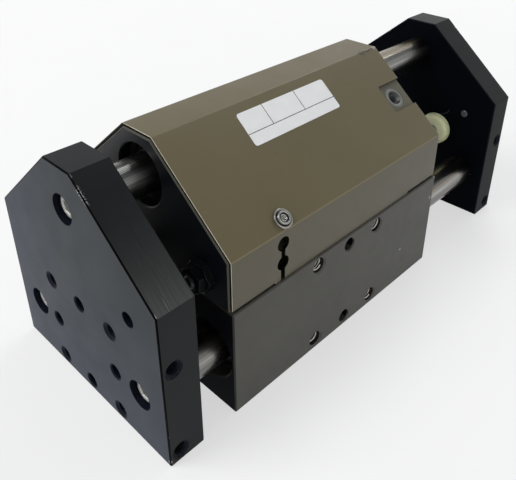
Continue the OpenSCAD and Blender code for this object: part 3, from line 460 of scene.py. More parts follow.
LOOKS = {
    "front_plate": plate_look("front_plate", 1, 0.235),
    "rear_plate": plate_look("rear_plate", -1, 0.17),
    "bore_shade": shade_look("bore_dye", (0.0030, 0.0042, 0.0095), (0.0050, 0.0068, 0.0160)),
    # The insert mouths' liners are a plain grey
    "cone_grey": shade_look("insert_cone_grey", (0.055, 0.054, 0.050), (0.110, 0.107, 0.100), 0.45),
    "rim_black": shade_look("rim_black_dye", (0.0004, 0.0004, 0.0006), (0.0010, 0.0010, 0.0014),
                            0.03),
    "bore_grey": shade_look("bore_painted_shade_grey", (0.022, 0.021, 0.019), (0.036, 0.034, 0.030)),
    "block": block_look("block_hard_anodised", (0.054, 0.052, 0.045), (0.064, 0.062, 0.053),
                        (0.0024, 0.0034, 0.0060),
                        chips=(((68, -49.8, 49.6), 1.1), ((65.6, -49.8, 38.6), 0.8),
                               ((43, -49.8, 19), 0.6))),
    "bearing": block_look("bearing_hard_anodised", (0.100, 0.095, 0.066), (0.118, 0.112, 0.078),
                          (0.0014, 0.0024, 0.0044), (*ROD_ENDS[0], 13.6), -41.2),
    "hood": hood_look(),
    "hood_rim": rim_wear_highlight_look(),
    "hood_cut": cut_face_look(),
    "rod": rod_look("rod_chrome", 1.0),
    # Painted shade: the top rod takes a darker copy of the rod's look
    "guide_rod_top": rod_look("rod_chrome_top_shaded", 0.82),
    "screw": steel_look("screw_zinc", (0.52, 0.525, 0.50), 0.52, 0.66, 2.0),
    "washer": steel_look("washer_zinc", (0.44, 0.435, 0.41), 0.28, 0.40, 2.0, relief=0.05),
    "insert": steel_look("insert_wire", (0.46, 0.445, 0.40), 0.30, 0.42, 1.0),
    "bushing": steel_look("bushing_steel", (0.55, 0.55, 0.55), 0.2, 0.35, 3.0),
    "cover": steel_look("cover_aluminium", (0.70, 0.70, 0.69), 0.28, 0.45, 3.0, (30, 1, 1)),
    "port": steel_look("port_nickel", (0.235, 0.24, 0.225), 0.40, 0.52, 2.0),
    "port_mouth": steel_look("port_mouth_painted_shade", (0.120, 0.122, 0.120), 0.50, 0.62, 2.0),
    "pin": steel_look("pin_steel", (0.16, 0.165, 0.175), 0.48, 0.60, 2.0),
    "spring": dark_steel_look("spring_steel", (0.05, 0.05, 0.052), 0.4),
    "stop": dark_steel_look("stop_black_oxide", (0.008, 0.009, 0.012), 0.36, 0.5, 0.6, 0.2),
    "thread": dark_steel_look("groove_painted_shade", (0.035, 0.036, 0.042), 0.38),
    "rubber": rubber_look(),
    "cream": plastic_look("bumper_cream", (0.70, 0.72, 0.44), (0.78, 0.80, 0.50), 0.38, 0.2),
    "magnet": plastic_look("magnet_dark", (0.02, 0.02, 0.02), (0.03, 0.03, 0.03), 0.5),
    "film": plastic_look("label_film", (0.80, 0.81, 0.81), (0.84, 0.84, 0.84), 0.32),
    "ink": ink_look(),
}
BY_SLOT = {
    "plate_anodised": "front_plate", "block_anodised": "block", "bearing_block_metal": "bearing",
    "hood_sheet": "hood", "rod_steel": "rod", "screw_steel": "screw", "spring_steel": "spring",
    "bushing_steel": "bushing", "cover_metal": "cover", "insert_wire": "insert",
    "black_rubber": "rubber", "bumper_polyurethane": "cream", "magnet_plastic": "magnet",
    "label_film": "film",
}
SLOT_OF = {n: o.data.materials[0].name.split(".")[0] for n, o in NODES.items()}
for n, o in NODES.items():
    o.data.materials[0] = LOOKS[n if n in LOOKS else BY_SLOT[SLOT_OF[n]]]


# ------------------------------------------------------------------ mesh tools
def piece(name, bm, body, looks, sharp=32, smooth=True, stands_for=()):
    """Makes an object in metres from a bmesh in millimetres and ties it to its body."""
    mesh = bpy.data.meshes.new(name)
    bm.normal_update()
    bm.to_mesh(mesh)
    bm.free()
    mesh.transform(Matrix.Scale(MM, 4))
    for look in looks:
        mesh.materials.append(LOOKS[look])
    mesh.polygons.foreach_set("use_smooth", [smooth] * len(mesh.polygons))
    mesh.set_sharp_from_angle(angle=math.radians(sharp))
    o = bpy.data.objects.new(name, mesh)
    bpy.context.scene.collection.objects.link(o)
    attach(o, body)
    if stands_for:
        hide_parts(*stands_for)
    return o


def frame_at(point, outward, turn=0.0):
    """Matrix whose Z axis points outward from a point in mm."""
    z = Vector(outward).normalized()
    side = Vector((0, 0, 1)) if abs(z.z) < 0.9 else Vector((1, 0, 0))
    x = side.cross(z).normalized()
    m = Matrix((x, z.cross(x), z)).transposed().to_4x4()
    return Matrix.Translation(Vector(point)) @ m @ Matrix.Rotation(turn, 4, "Z")


def hexagon(af, corner=0.0):
    """Radius of a hexagon across flats as a function of the angle."""
    def r(t):
        u = (t + math.pi / 6) % (math.pi / 3) - math.pi / 6
        flat = af / 2 / math.cos(u)
        return min(flat, af / 2 / math.cos(math.pi / 6) - corner)
    return r


def lathe(bm, at, loops, n=48, material=0):
    """Skins a stack of loops (radius or radius function of the angle, height)."""
    rows = []
    for r, z in loops:
        f = r if callable(r) else (lambda t, r=r: r)
        if not callable(r) and r == 0:
            rows.append([bm.verts.new(at @ Vector((0, 0, z)))])
            continue
        rows.append([bm.verts.new(at @ Vector((f(TAU * i / n) * math.cos(TAU * i / n),
                                               f(TAU * i / n) * math.sin(TAU * i / n), z)))
                     for i in range(n)])
    for a, b in zip(rows, rows[1:]):
        for i in range(n):
            j = (i + 1) % n
            ring = [a[i % len(a)], a[j % len(a)], b[j % len(b)], b[i % len(b)]]
            ring = list(dict.fromkeys(ring))
            if len(ring) > 2:
                bm.faces.new(ring).material_index = material


def thread_radius(z, crest, root, pitch=1.0):
    """Radius function of a right-hand thread at height z."""
    def r(t):
        d = abs((z / pitch - t / TAU) % 1.0 - 0.5) * 2
        return root + (crest - root) * min(1.0, max(0.0, (0.82 - d) / 0.68))
    return r


def thread_loops(z0, z1, crest, root, pitch=1.0, steps=8):
    """Loops for lathe along a thread from z0 to z1, so many steps to a turn."""
    count = max(2, round(abs(z1 - z0) / pitch * steps))
    return [(thread_radius(z0 + (z1 - z0) * k / count, crest, root, pitch),
             z0 + (z1 - z0) * k / count) for k in range(count + 1)]


def sheet_cells(outline, holes=(), cuts=()):
    """Triangulates a flat outline with holes; cuts are extra lines to keep."""
    points, edges = [], []
    for ring in (outline, *holes):
        base = len(points)
        points += [Vector(p) for p in ring]
        edges += [(base + i, base + (i + 1) % len(ring)) for i in range(len(ring))]
    for a, b in cuts:
        edges.append((len(points), len(points) + 1))
        points += [Vector(a), Vector(b)]
    verts, _, faces, *_ = delaunay_2d_cdt(points, edges, [], 0, 1e-5)

    def inside(p, ring):
        hit = False
        for i in range(len(ring)):
            (x0, y0), (x1, y1) = ring[i - 1], ring[i]
            if (y0 > p[1]) != (y1 > p[1]) and p[0] < (x1 - x0) * (p[1] - y0) / (y1 - y0) + x0:
                hit = not hit
        return hit

    kept = []
    for f in faces:
        c = sum((verts[i] for i in f), Vector((0, 0))) / len(f)
        if inside(c, outline) and not any(inside(c, h) for h in holes):
            kept.append(f)
    return verts, kept


def skin_solid(bm, verts, faces, outer, inner, side_material=1, pick=None, rim=None):
    """Closed sheet between two mappings of the same flat triangles; rim picks worn edges."""
    weight = bm.edges.layers.float.new("bevel_weight_edge")
    a = [bm.verts.new(outer(v)) for v in verts]
    b = [bm.verts.new(inner(v)) for v in verts]
    count = {}
    for f in faces:
        for i in range(len(f)):
            e = (f[i - 1], f[i])
            count[frozenset(e)] = None if frozenset(e) in count else e
        mat = pick(sum((verts[i] for i in f), Vector((0, 0))) / len(f)) if pick else 0
        bm.faces.new([a[i] for i in f]).material_index = mat
        bm.faces.new([b[i] for i in reversed(f)]).material_index = 0
    for e in count.values():
        if e:
            i, j = e
            bm.faces.new([a[j], a[i], b[i], b[j]]).material_index = side_material
            if rim is None or rim(verts[i], verts[j]):
                bm.edges.get((a[i], a[j]))[weight] = 1.0
    for v in [v for v in bm.verts if not v.link_faces]:
        bm.verts.remove(v)
    bmesh.ops.recalc_face_normals(bm, faces=bm.faces)


def arc(cx, cy, r, a0, a1, n):
    """Points on an arc from angle a0 to a1, in n steps."""
    angles = [a0 + (a1 - a0) * i / n for i in range(n + 1)]
    return [(cx + r * math.cos(a), cy + r * math.sin(a)) for a in angles]


# ------------------------------------------------------------------ sheet hood
SHEET, BEND = 1.0, 1.4       # thickness and outer bend radius
TOP_W, SIDE_H = 17.3, 22.4   # flat top's width and upright sides' height
SLOPE = math.atan2(HOOD_HIGH.z - HOOD_LOW.z - SIDE_H, HOOD_HIGH.y - TOP_W / 2)
SHOULDER = HOOD_LOW.z + SIDE_H
SLOPE_L = (HOOD_HIGH.y - TOP_W / 2) / math.cos(SLOPE)
SCREW_S = SLOPE_L - 4.2


def on_slope(side, x, s, up=0.0):
    """Point on the hood's slope at s mm below its top corner."""
    y = TOP_W / 2 + s * math.cos(SLOPE) + up * math.sin(SLOPE)
    return Vector((x, side * y, HOOD_HIGH.z - s * math.sin(SLOPE) + up * math.cos(SLOPE)))


def slope_normal(side):
    return Vector((0, side * math.sin(SLOPE), math.cos(SLOPE)))


def hood_path():
    """Straight and bent stretches of the hood's outer outline, from the right foot over."""
    half = HOOD_HIGH.y
    corners = [Vector((-half, HOOD_LOW.z)), Vector((-half, SHOULDER)),
               Vector((-TOP_W / 2, HOOD_HIGH.z)), Vector((TOP_W / 2, HOOD_HIGH.z)),
               Vector((half, SHOULDER)), Vector((half, HOOD_LOW.z))]
    legs, bends = [], []
    at = 0.0
    cut = 0.0
    for i in range(5):
        a, b = corners[i], corners[i + 1]
        d = (b - a).normalized()
        nxt = 0.0
        if i < 4:
            e = (corners[i + 2] - b).normalized()
            turn = math.acos(max(-1, min(1, d.dot(e))))
            nxt = BEND * math.tan(turn / 2)
        length = (b - a).length - cut - nxt
        legs.append({"at": at, "len": length, "from": a + d * cut, "dir": d, "skip": cut})
        at += length
        if i < 4:
            centre = b - d * nxt + Vector((d.y, -d.x)) * BEND
            bends.append({"at": at, "turn": turn, "centre": centre, "dir": d})
            at += BEND * turn
        cut = nxt
    return legs, bends, at


LEGS, BENDS, HOOD_W = hood_path()


def hood_point(x, w, depth):
    """Point of the folded sheet: w runs along the outer outline, depth goes into the sheet."""
    w = min(max(w, 0.0), HOOD_W)
    for bend in BENDS:
        if bend["at"] <= w <= bend["at"] + BEND * bend["turn"]:
            a = (w - bend["at"]) / BEND
            d = bend["dir"]
            n = Vector((-d.y, d.x))
            out = n * math.cos(a) + d * math.sin(a)
            p = bend["centre"] + out * (BEND - depth)
            return Vector((x, p.x, p.y))
    for leg in LEGS:
        if leg["at"] - 1e-3 <= w <= leg["at"] + leg["len"] + 1e-3:
            d = leg["dir"]
            p = leg["from"] + d * (w - leg["at"]) - Vector((-d.y, d.x)) * depth
            return Vector((x, p.x, p.y))
    raise ValueError(w)


def hood_w(leg, distance):
    """Flat position of a point at a distance from the start corner of a leg."""
    return LEGS[leg]["at"] + distance - LEGS[leg]["skip"]


def build_hood():
    """Folded sheet hood with its two cable slots, port notches and screw holes."""
    x0, x1 = HOOD_LOW.x, HOOD_HIGH.x
    step, step_l = 1.0, 22.6              # the feet are higher at both ends
    slot_x = BLOCK_FRONT + 26.8           # cable slot: two holes joined by a slit
    low_z, pitch, hole_r, slit = 8.1, 8.8, 3.1, 1.1
    notch_l, notch_w, notch_s = 16.5, 14.5, 26.3    # port notch; notch_s is down the slope

    def notch(side):
        """Corners of the port notch along the flat sheet."""
        near, far = notch_s - notch_w / 2, notch_s + notch_w / 2
        if side < 0:
            return hood_w(1, SLOPE_L - far), hood_w(1, SLOPE_L - near)
        return hood_w(3, near), hood_w(3, far)

    lowc, highc = hood_w(0, low_z), hood_w(0, low_z + pitch)
    e, quarter = math.asin(slit / hole_r), math.pi / 2
    slot = (arc(slot_x, lowc, hole_r, -quarter - e, -3 * quarter + e, 16)
            + arc(slot_x, highc, hole_r, -quarter - e, -5 * quarter + e, 28)
            + arc(slot_x, lowc, hole_r, quarter - e, -quarter + e, 16))
    # The outline walks round the flat sheet from the right foot's front end
    ring = [(x0, step), (x0 + step_l, step), (x0 + step_l, 0), (slot_x - slit, 0)]
    ring += slot
    ring += [(slot_x + slit, 0), (x1 - step_l, 0), (x1 - step_l, step), (x1, step)]
    for side in (-1, 1):
        a, b = notch(side)
        ring += [(x1, a)]
        ring += arc(x1 - notch_l + 1, a + 1, 1, -quarter, -2 * quarter, 5)
        ring += arc(x1 - notch_l + 1, b - 1, 1, 2 * quarter, quarter, 5)
        ring += [(x1, b)]
    ring += [(x1, HOOD_W - step), (x1 - step_l, HOOD_W - step), (x1 - step_l, HOOD_W)]
    ring += [(slot_x + slit, HOOD_W)]
    ring += [(x, HOOD_W - y) for x, y in reversed(slot)]
    ring += [(slot_x - slit, HOOD_W), (x0 + step_l, HOOD_W), (x0 + step_l, HOOD_W - step),
             (x0, HOOD_W - step)]
    screw_x, screw_r, last = BLOCK_FRONT + 29.2, 2.1, TAU * 27 / 28
    holes = [arc(screw_x, hood_w(1, SLOPE_L - SCREW_S), screw_r, 0, last, 27),
             arc(screw_x, hood_w(3, SCREW_S), screw_r, 0, last, 27)]
    cuts = []
    for bend in BENDS:
        for k in range(7):
            w = bend["at"] + BEND * bend["turn"] * k / 6
            cuts.append(((x0, w), (x1, w)))
    verts, faces = sheet_cells(ring, holes, cuts)
    bm = bmesh.new()

    def worn(a, b):
        """Edges at the two ends and along the feet."""
        ends = abs(a.x - b.x) < 1e-4 and min(a.x - x0, x1 - a.x) < 1e-3
        return ends or max(a.y, b.y) < step + 1e-3 or min(a.y, b.y) > HOOD_W - step - 1e-3

    skin_solid(bm, verts, faces, lambda v: hood_point(v.x, v.y, 0.0),
               lambda v: hood_point(v.x, v.y, SHEET), rim=worn)
    o = piece("hood_sheet", bm, "body", ("hood", "hood_cut", "hood_rim"),
              smooth=False, stands_for=("hood",))
    # The worn rim is rounded, and the round has the third material: bare metal with a painted
    # highlight
    rim = o.modifiers.new("rim", "BEVEL")
    rim.width, rim.segments, rim.limit_method = 0.16 * MM, 2, "WEIGHT"
    rim.material, rim.use_clamp_overlap = 2, False


build_hood()


# ------------------------------------------------------------------ name plate
def build_label():
    """Blank name plate on the right slope, with ruled fields and no text."""
    low, high = box_mm("label")
    length = high.x - low.x
    height, thick, r = 15.0, 0.15, 1.2    # r rounds its corners
    centre_x = (low.x + high.x) / 2
    s = 12.1    # its middle, down the slope
    w, h = length / 2, height / 2
    ring = []
    for i, (sx, sy) in enumerate(((1, 1), (-1, 1), (-1, -1), (1, -1))):
        ring += arc(sx * (w - r), sy * (h - r), r, i * math.pi / 2, (i + 1) * math.pi / 2, 6)
    line = 0.16
    # Ruled fields of the blank plate: (left, right, low, high) in the plate's own frame
    div = -2.05
    left, right = -11.94, 7.28
    rules = [(-w, w, div - line, div + line)]
    rules += [(x - line, x + line, div, h) for x in (left, right)]
    cuts = []
    for x0, x1, y0, y1 in rules:
        for y in (y0, y1):
            cuts.append(((-w, y), (w, y)))
        for x in (x0, x1):
            cuts.append(((x, -h), (x, h)))
    verts, faces = sheet_cells(ring, (), cuts)

    def pick(c):
        return 1 if any(x0 < c.x < x1 and y0 < c.y < y1 for x0, x1, y0, y1 in rules) else 0

    bm = bmesh.new()
    skin_solid(bm, verts, faces,
               lambda v: on_slope(-1, centre_x + v.x, s - v.y, thick),
               lambda v: on_slope(-1, centre_x + v.x, s - v.y, 0.0), 0, pick)
    piece("name_plate", bm, "body", ("film", "ink"), stands_for=("label",))


build_label()


# ------------------------------------------------------------------ fasteners
def cap_head(bm, at, r=5.0, height=6.0, af=5.0, deep=3.0, shank_r=3.0, shank=24.0, n=72):
    """Socket head cap screw; its head's underside is at z 0 and its shank below."""
    def knurl(t):
        return r - 0.13 * (0.5 + 0.5 * math.cos(t * 36))
    lathe(bm, at, [
        (0, height - deep - 1.0), (0.9, height - deep - 0.8), (hexagon(af), height - deep),
        (hexagon(af), height - 0.35), (hexagon(af + 0.6, 0.15), height),
        (r - 1.15, height), (r - 0.9, height - 0.04), (r - 0.35, height - 0.3),
        (knurl, height - 0.8), (knurl, 0.5), (r - 0.4, 0), (shank_r + 0.3, 0),
        (shank_r, -0.3), (shank_r, -shank + 0.8), (shank_r - 0.6, -shank), (0, -shank)], n)


def plate_screws(node, outward):
    """Three cap screws that hold the rods' ends to a plate."""
    low, high = box_mm(node)
    head = 6.0
    seat = low.x + head if outward < 0 else high.x - head
    bm = bmesh.new()
    for i, (y, z) in enumerate(((0, high.z - 5), (-35, 25), (35, 25))):
        cap_head(bm, frame_at((seat, y, z), (outward, 0, 0), 0.35 + i * 0.21), height=head)
    piece(node + "_detailed", bm, "carriage", ("screw",), 30, stands_for=(node,))


plate_screws("front_plate_screws", -1)
plate_screws("rear_plate_screws", 1)


def stop_pin(node, outward):
    """Threaded pin with a socket in its outer end."""
    low, high = box_mm(node)
    inner = high.x if outward < 0 else low.x
    length = high.x - low.x
    bm = bmesh.new()
    at = frame_at((inner, (low.y + high.y) / 2, (low.z + high.z) / 2), (outward, 0, 0), 0.4)
    lathe(bm, at, [(0, 0), (1.7, 0), (2.0, 0.25), (2.0, 3.0), (2.4, 3.0)]
          + thread_loops(3.2, length - 0.5, 3.0, 2.45)
          + [(2.45, length), (hexagon(3.2), length), (hexagon(3.0), length - 0.2),
             (hexagon(3.0), length - 2.6), (0.6, length - 3.1), (0, length - 3.2)], 48)
    piece(node + "_detailed", bm, "carriage", ("spring" if outward < 0 else "pin",),
          30, stands_for=(node,))


stop_pin("front_stop_pin", -1)
stop_pin("rear_stop_pin", 1)


def hood_fasteners():
    """Washers and socket screws that hold the sheet, with rims and grooves turned in."""
    screws, washers = bmesh.new(), bmesh.new()
    low, high = box_mm("hood_screws")
    x = (low.x + high.x) / 2
    for side in (-1, 1):
        at = frame_at(on_slope(side, x, SCREW_S), slope_normal(side), 0.5)
        # Painted shade: the washer's bore and the step under the head take the dark look
        lathe(washers, at, [(2.1, 0.0), (2.1, 0.5), (3.0, 0.5)], 64, 1)
        lathe(washers, at, [(3.0, 0.5), (3.25, 1.15), (3.45, 1.3), (3.75, 1.3), (3.95, 1.15),
                            (4.0, 0.9), (4.0, 0.0)], 64)
        lathe(washers, at, [(4.0, 0.0), (2.1, 0.0)], 64)
        lathe(screws, at, [(0, 0.75), (0.75, 0.8), (0.95, 1.05), (1.0, 1.45), (1.2, 1.62),
                           (1.45, 1.5)], 64)
        # Painted shade: the groove between the head's rings takes the dark look
        lathe(screws, at, [(1.45, 1.5), (1.6, 1.15), (1.85, 1.15)], 64, 1)
        lathe(screws, at, [(1.85, 1.15), (2.0, 2.0), (2.2, 2.15), (2.5, 2.15), (2.75, 1.95),
                           (2.85, 1.6), (2.85, 0.95)], 64)
        lathe(screws, at, [(2.85, 0.95), (2.7, 0.8), (2.0, 0.8), (2.0, -3.0), (1.6, -3.4),
                           (0, -3.4)], 64)
    for node, bm in (("hood_screws", screws), ("hood_washers", washers)):
        bmesh.ops.remove_doubles(bm, verts=bm.verts, dist=1e-5)
        piece(node + "_detailed", bm, "body", ("washer", "thread"), 24,
              stands_for=(node,))


hood_fasteners()


def turned_hexagon(af, reach, gap):
    """Hexagon whose corners are turned down towards a face gap mm away."""
    flats, turned = hexagon(af), reach - max(0.0, 0.95 - gap * 1.9)
    return lambda t: min(flats(t), turned)


def stop_parts():
    """Threaded stop screw with its lock nut and flanged bushing."""
    low, high = box_mm("stop_screw")
    y, z = (low.y + high.y) / 2, (low.z + high.z) / 2
    at = frame_at((high.x, y, z), (-1, 0, 0), 0.2)
    length = high.x - low.x
    bm = bmesh.new()
    lathe(bm, at, [(0, 3.0), (hexagon(3.0), 3.0), (hexagon(3.0), 0.2), (2.4, 0)]
          + thread_loops(0.4, length - 0.9, 3.0, 2.45)
          + [(2.45, length - 0.7), (2.0, length - 0.1), (1.7, length), (0, length)], 48)
    piece("stop_screw_detailed", bm, "body", ("spring",), 30,
          stands_for=("stop_screw",))
    nlow, nhigh = box_mm("stop_nut")
    bm = bmesh.new()
    at = frame_at((nhigh.x, y, z), (-1, 0, 0))
    h = nhigh.x - nlow.x
    reach = 10 / 2 / math.cos(math.pi / 6)
    steps = [0.0, 0.1, 0.2, 0.32, 0.5, h - 0.5, h - 0.32, h - 0.2, h - 0.1, h]
    lathe(bm, at, [(3.1, 0.0), (4.4, 0.0)]
          + [(turned_hexagon(10, reach, min(s, h - s)), s) for s in steps]
          + [(4.4, h), (3.4, h), (2.9, h - 0.5)] + thread_loops(h - 0.5, 0.4, 2.9, 3.1, steps=6)
          + [(3.1, 0.0)], 72)
    piece("stop_nut_detailed", bm, "body", ("stop",), 30,
          stands_for=("stop_nut",))
    bm = bmesh.new()
    at = frame_at((BLOCK_FRONT, y, z), (-1, 0, 0), math.pi / 6)
    h = 2.6
    steps = [0.0, 0.15, 0.4, h - 0.5, h - 0.35, h - 0.2, h - 0.1, h]
    lathe(bm, at, [(3.1, -14.0), (4.2, -14.0), (4.5, -13.7), (4.5, -0.1), (5.0, 0.0)]
          + [(turned_hexagon(12, 6.928, h - s), s) for s in steps]
          + [(5.0, h), (3.6, h), (3.1, h - 0.5), (3.1, -14.0)], 72)
    piece("stop_bushing_detailed", bm, "body", ("stop",), 30,
          stands_for=("stop_bushing",))


stop_parts()


# ------------------------------------------------------------------ threads
def plate_threads(name, mouths, end):
    """M6 thread surfaces in drilled holes: (mouth point, outward axis), down to end."""
    start, crest, root, sink = 0.9, 2.5, 2.98, 3.77
    bm = bmesh.new()
    for point, axis in mouths:
        lathe(bm, frame_at(point, axis), thread_loops(-end, -start, crest, root)
              + [(root, -start + 0.1), (sink, -0.01)], 36)
    for f in bm.faces:
        f.normal_flip()
    # The threads take the bore_shade look: painted shade deep in the holes
    piece(name, bm, "carriage", ("bore_shade",), 40)


def plate_rims():
    """Black skin of painted shade on the chamfered rim of each plate's outer face."""
    bm = bmesh.new()
    lift, shoulder, top, flat, edge = 0.3, 70.0, 105.0, 8.4, 0.5
    ring = [Vector(p) for p in ((SIDE_Y, lift), (SIDE_Y, shoulder), (flat, top), (-flat, top),
                                (-SIDE_Y, shoulder), (-SIDE_Y, lift))]
    outward = []
    for i in range(6):
        before = (ring[i] - ring[i - 1]).normalized()
        after = (ring[(i + 1) % 6] - ring[i]).normalized()
        n0, n1 = Vector((before.y, -before.x)), Vector((after.y, -after.x))
        outward.append((n0 + n1) / (1 + n0.dot(n1)))
    for face, way in ((FRONT_X, -1), (REAR_X, 1)):
        loops = []
        for inset, depth in ((edge, 0.0), (edge * 0.42, edge * 0.42), (0.0, edge)):
            loops.append([bm.verts.new((face - way * depth, *(p - o * inset)))
                          for p, o in zip(ring, outward)])
        for a, b in zip(loops, loops[1:]):
            for i in range(6):
                j = (i + 1) % 6
                bm.faces.new((a[i], a[j], b[j], b[i]))
    bmesh.ops.recalc_face_normals(bm, faces=bm.faces)
    piece("plate_rims", bm, "carriage", ("rim_black",), 60)


plate_rims()
SQUARE = [(s, HOLE_Z + k * HOLE_GAP) for s in (-1, 1) for k in (-1, 1)]    # side, height
plate_threads("tool_threads",
              [((FRONT_X, s * HOLE_GAP, z), (-1, 0, 0)) for s, z in SQUARE], 15.4)
for end_name, mid in (("front", FRONT_X + 5), ("rear", REAR_X - 5)):
    plate_threads(end_name + "_plate_threads",
                  [((mid, s * SIDE_Y, z), (0, s, 0)) for s, z in SQUARE], 11.8)


def bore_skins():
    """Liners of painted shade on the walls of the plates' counterbores and of the plain holes in
    the front face.
    """
    bm = bmesh.new()
    for face, outward in ((FRONT_X, -1), (REAR_X, 1)):
        for y, z in ROD_ENDS:
            lathe(bm, frame_at((face, y, z), (outward, 0, 0)),
                  [(3.3, -7.98), (5.97, -7.97), (5.97, -0.02)], 64)
        lathe(bm, frame_at((face, -33.5, 59.5), (outward, 0, 0)),
              [(2.98, -3.0), (2.98, -0.02)], 48)
    for y, z in ((-HOLE_GAP, HOLE_Z), (HOLE_GAP, HOLE_Z),
                 (0, HOLE_Z - HOLE_GAP), (0, HOLE_Z + HOLE_GAP)):
        lathe(bm, frame_at((FRONT_X, y, z), (-1, 0, 0)),
              [(0, -15.9), (2.97, -15.8), (2.97, -0.5), (3.47, -0.01)], 48)
    for f in bm.faces:
        f.normal_flip()
    piece("plate_bore_skins", bm, "carriage", ("bore_shade",), 40)


bore_skins()


def wire_inserts():
    """Coils of bright diamond-section wire screwed into the block's side threads."""
    bm = bmesh.new()
    turns, pitch, n, wire_r, deepest, mouth_y = 7.9, 1.0, 36, 3.0, -9.55, SIDE_Y - 0.2
    section = ((-0.5, 0.0), (-0.1, 0.30), (0.40, 0.0), (-0.1, -0.30))    # radius, height
    for side in (-1, 1):
        for sx in (-1, 1):
            for k in (-1, 1):
                mouth = (sx * HOLE_GAP, side * mouth_y, HOLE_Z + k * HOLE_GAP)
                at = frame_at(mouth, (0, side, 0), 0.9 * sx + k)
                # A dark liner of painted shade inside each hole, and a grey liner on its mouth
                # cone
                lathe(bm, at, [(3.42, -11.6), (3.42, -0.62)], 48, 1)
                lathe(bm, at, [(3.42, -0.62), (4.08, -0.02)], 48, 2)
                rows = []
                count = int(turns * n)
                for i in range(count + 1):
                    t = TAU * i / n
                    z = deepest + pitch * i / n
                    rows.append([bm.verts.new(at @ Vector(((wire_r + dr) * math.cos(t),
                                                           (wire_r + dr) * math.sin(t), z + dz)))
                                 for dr, dz in section])
                for a, b in zip(rows, rows[1:]):
                    for q in range(4):
                        p = (q + 1) % 4
                        bm.faces.new((a[q], a[p], b[p], b[q]))
                bm.faces.new(rows[0])
                bm.faces.new(list(reversed(rows[-1])))
    bmesh.ops.recalc_face_normals(bm, faces=[f for f in bm.faces if f.material_index == 0])
    for f in bm.faces:
        if f.material_index:
            f.normal_flip()
    piece("wire_thread_inserts", bm, "body", ("insert", "bore_grey", "cone_grey"),
          50, stands_for=("thread_inserts",))


wire_inserts()


def port_parts():
    """Nickelled port inserts with their M5 threads."""
    x, s, skin = BLOCK_REAR - 9.7, 26.7, 1.3    # middle, down the slope, below the sheet
    bm = bmesh.new()
    for side in (-1, 1):
        at = frame_at(on_slope(side, x, s, -skin), slope_normal(side))
        lathe(bm, at, [(2.6, -8.0), (5.0, -8.0), (5.2, -7.8), (5.2, -0.3), (5.05, -0.06),
                       (4.8, 0.0), (3.7, 0.0), (3.5, -0.1)], 60)
        # Painted shade: the mouth and thread inside take a darker copy of the nickel
        lathe(bm, at, [(3.5, -0.1), (2.65, -1.75)] + thread_loops(-1.9, -7.6, 2.1, 2.52, 0.8)
              + [(2.6, -8.0)], 60, 1)
    bmesh.ops.remove_doubles(bm, verts=bm.verts, dist=1e-5)
    piece("port_inserts_detailed", bm, "body", ("port", "port_mouth"), 30,
          stands_for=("port_inserts",))


port_parts()


def build_bumper():
    """Moulded bumper on its stud."""
    low, high = box_mm("bumper")
    y, z = (low.y + high.y) / 2, (low.z + high.z) / 2
    r, h = (high.y - low.y) / 2, high.x - low.x
    at = frame_at((high.x, y, z), (-1, 0, 0))
    bm = bmesh.new()
    edge = arc(r - 2.4, h - 2.5, 2.4, 0, math.pi / 2, 10)
    lip = arc(3.6, h - 0.85, 0.8, math.pi / 2, math.pi, 6)
    lathe(bm, at, [(2.1, 0.0), (r - 0.25, 0.0), (r, 0.3)] + edge + [(5.0, h)] + lip
          + [(2.75, h - 2.6), (2.5, h - 3.0), (2.1, h - 3.0), (2.1, 0.0)], 72)
    piece("bumper_moulded", bm, "carriage", ("cream",), 30,
          stands_for=("bumper",))
    low, high = box_mm("bumper_stud")
    at = frame_at((high.x, y, z), (-1, 0, 0))
    length = high.x - low.x
    bm = bmesh.new()
    lathe(bm, at, [(0, 0), (1.6, 0), (2.0, 0.4), (2.0, length - 0.5), (1.6, length - 0.05),
                   (hexagon(2.1), length), (hexagon(2.0), length - 0.1),
                   (hexagon(2.0), length - 2.0), (0, length - 2.4)], 48)
    piece("bumper_stud_detailed", bm, "carriage", ("screw",), 30,
          stands_for=("bumper_stud",))


build_bumper()


# ------------------------------------------------------------------ floor, light, camera
def floor_look():
    """Plain pale floor with a faint grain."""
    k = Look("floor_pale", specular=0.1)
    k.tint((0.885, 0.885, 0.885), (0.905, 0.905, 0.905), 60)
    k.gloss(0.55, 0.7, 20, 3)
    k.done()
    # Seen directly or in gloss it turns towards white and keeps the object's shadow;
    # farther out it goes over into the white background
    ray = k.nodes.new("ShaderNodeLightPath")
    seen = k.most(ray.outputs["Is Camera Ray"], ray.outputs["Is Glossy Ray"])
    seen = k.most(seen, ray.outputs["Is Transmission Ray"])
    glow = k.nodes.new("ShaderNodeEmission")
    mix = k.nodes.new("ShaderNodeMixShader")
    far = k.span(k.vector("LENGTH", k.coords, out="Value"), 0.3, 1.1, 0.6, 1.0)
    k.links.new(k.times(seen, far), mix.inputs[0])
    k.links.new(k.bsdf.outputs[0], mix.inputs[1])
    k.links.new(glow.outputs[0], mix.inputs[2])
    k.links.new(mix.outputs[0], k.nodes["Material Output"].inputs["Surface"])
    return k.m


FLOOR_HALF, FLOOR_DROP = 6.0, 0.0002    # metres
bm = bmesh.new()
bmesh.ops.create_grid(bm, x_segments=8, y_segments=8, size=FLOOR_HALF)
floor_mesh = bpy.data.meshes.new("floor")
bm.to_mesh(floor_mesh)
bm.free()
floor_mesh.materials.append(floor_look())
floor = bpy.data.objects.new("floor", floor_mesh)
floor.location.z = -FLOOR_DROP
bpy.context.scene.collection.objects.link(floor)

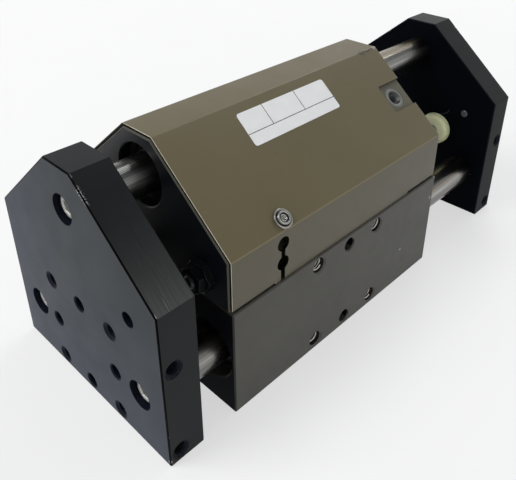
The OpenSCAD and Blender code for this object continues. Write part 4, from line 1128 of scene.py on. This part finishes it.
world = bpy.data.worlds.new("studio")
bpy.context.scene.world = world
world.use_nodes = True
# The sky is white near the horizon and a dim grey overhead
wn = world.node_tree
back = wn.nodes["Background"]
where = wn.nodes.new("ShaderNodeTexCoord")
split = wn.nodes.new("ShaderNodeSeparateXYZ")
wn.links.new(where.outputs["Generated"], split.inputs[0])
sky = wn.nodes.new("ShaderNodeValToRGB")
wn.links.new(split.outputs["Z"], sky.inputs[0])
sky.color_ramp.elements[0].position = 0.30
sky.color_ramp.elements[0].color = (1, 1, 1, 1)
sky.color_ramp.elements[1].position = 0.75
sky.color_ramp.elements[1].color = (0.16, 0.17, 0.18, 1)
wn.links.new(sky.outputs[0], back.inputs["Color"])
back.inputs["Strength"].default_value = 1.0


def lamp(name, place, size, power, aim=(0.02, 0, 0.05)):
    data = bpy.data.lights.new(name, "AREA")
    data.shape, data.size, data.size_y, data.energy = "RECTANGLE", size, size, power
    o = bpy.data.objects.new(name, data)
    o.location = place
    o.rotation_mode = "QUATERNION"
    o.rotation_quaternion = (Vector(aim) - Vector(place)).to_track_quat("-Z", "Y")
    bpy.context.scene.collection.objects.link(o)


lamp("key", (-0.9, 0.5, 1.3), 0.8, 14.0)
lamp("fill", (0.9, 0.2, 1.2), 0.8, 6.0)

cam_data = bpy.data.cameras.new("camera")
cam_data.lens, cam_data.sensor_width = 43.9605, 36
cam_data.shift_x, cam_data.shift_y = -0.003876, -0.174419
cam_data.clip_start, cam_data.clip_end = 0.01, 50
camera = bpy.data.objects.new("camera", cam_data)
camera.location = (-0.1817, -0.1741, 0.2075)
azimuth, dip = math.radians(44.353), math.radians(-28.325)
look_along = Vector((math.cos(dip) * math.cos(azimuth), math.cos(dip) * math.sin(azimuth),
                     math.sin(dip)))
camera.rotation_mode = "QUATERNION"
camera.rotation_quaternion = look_along.to_track_quat("-Z", "Y")
bpy.context.scene.collection.objects.link(camera)
bpy.context.scene.camera = camera
bpy.context.scene.view_settings.view_transform = "Standard"

bpy.context.view_layer.update()
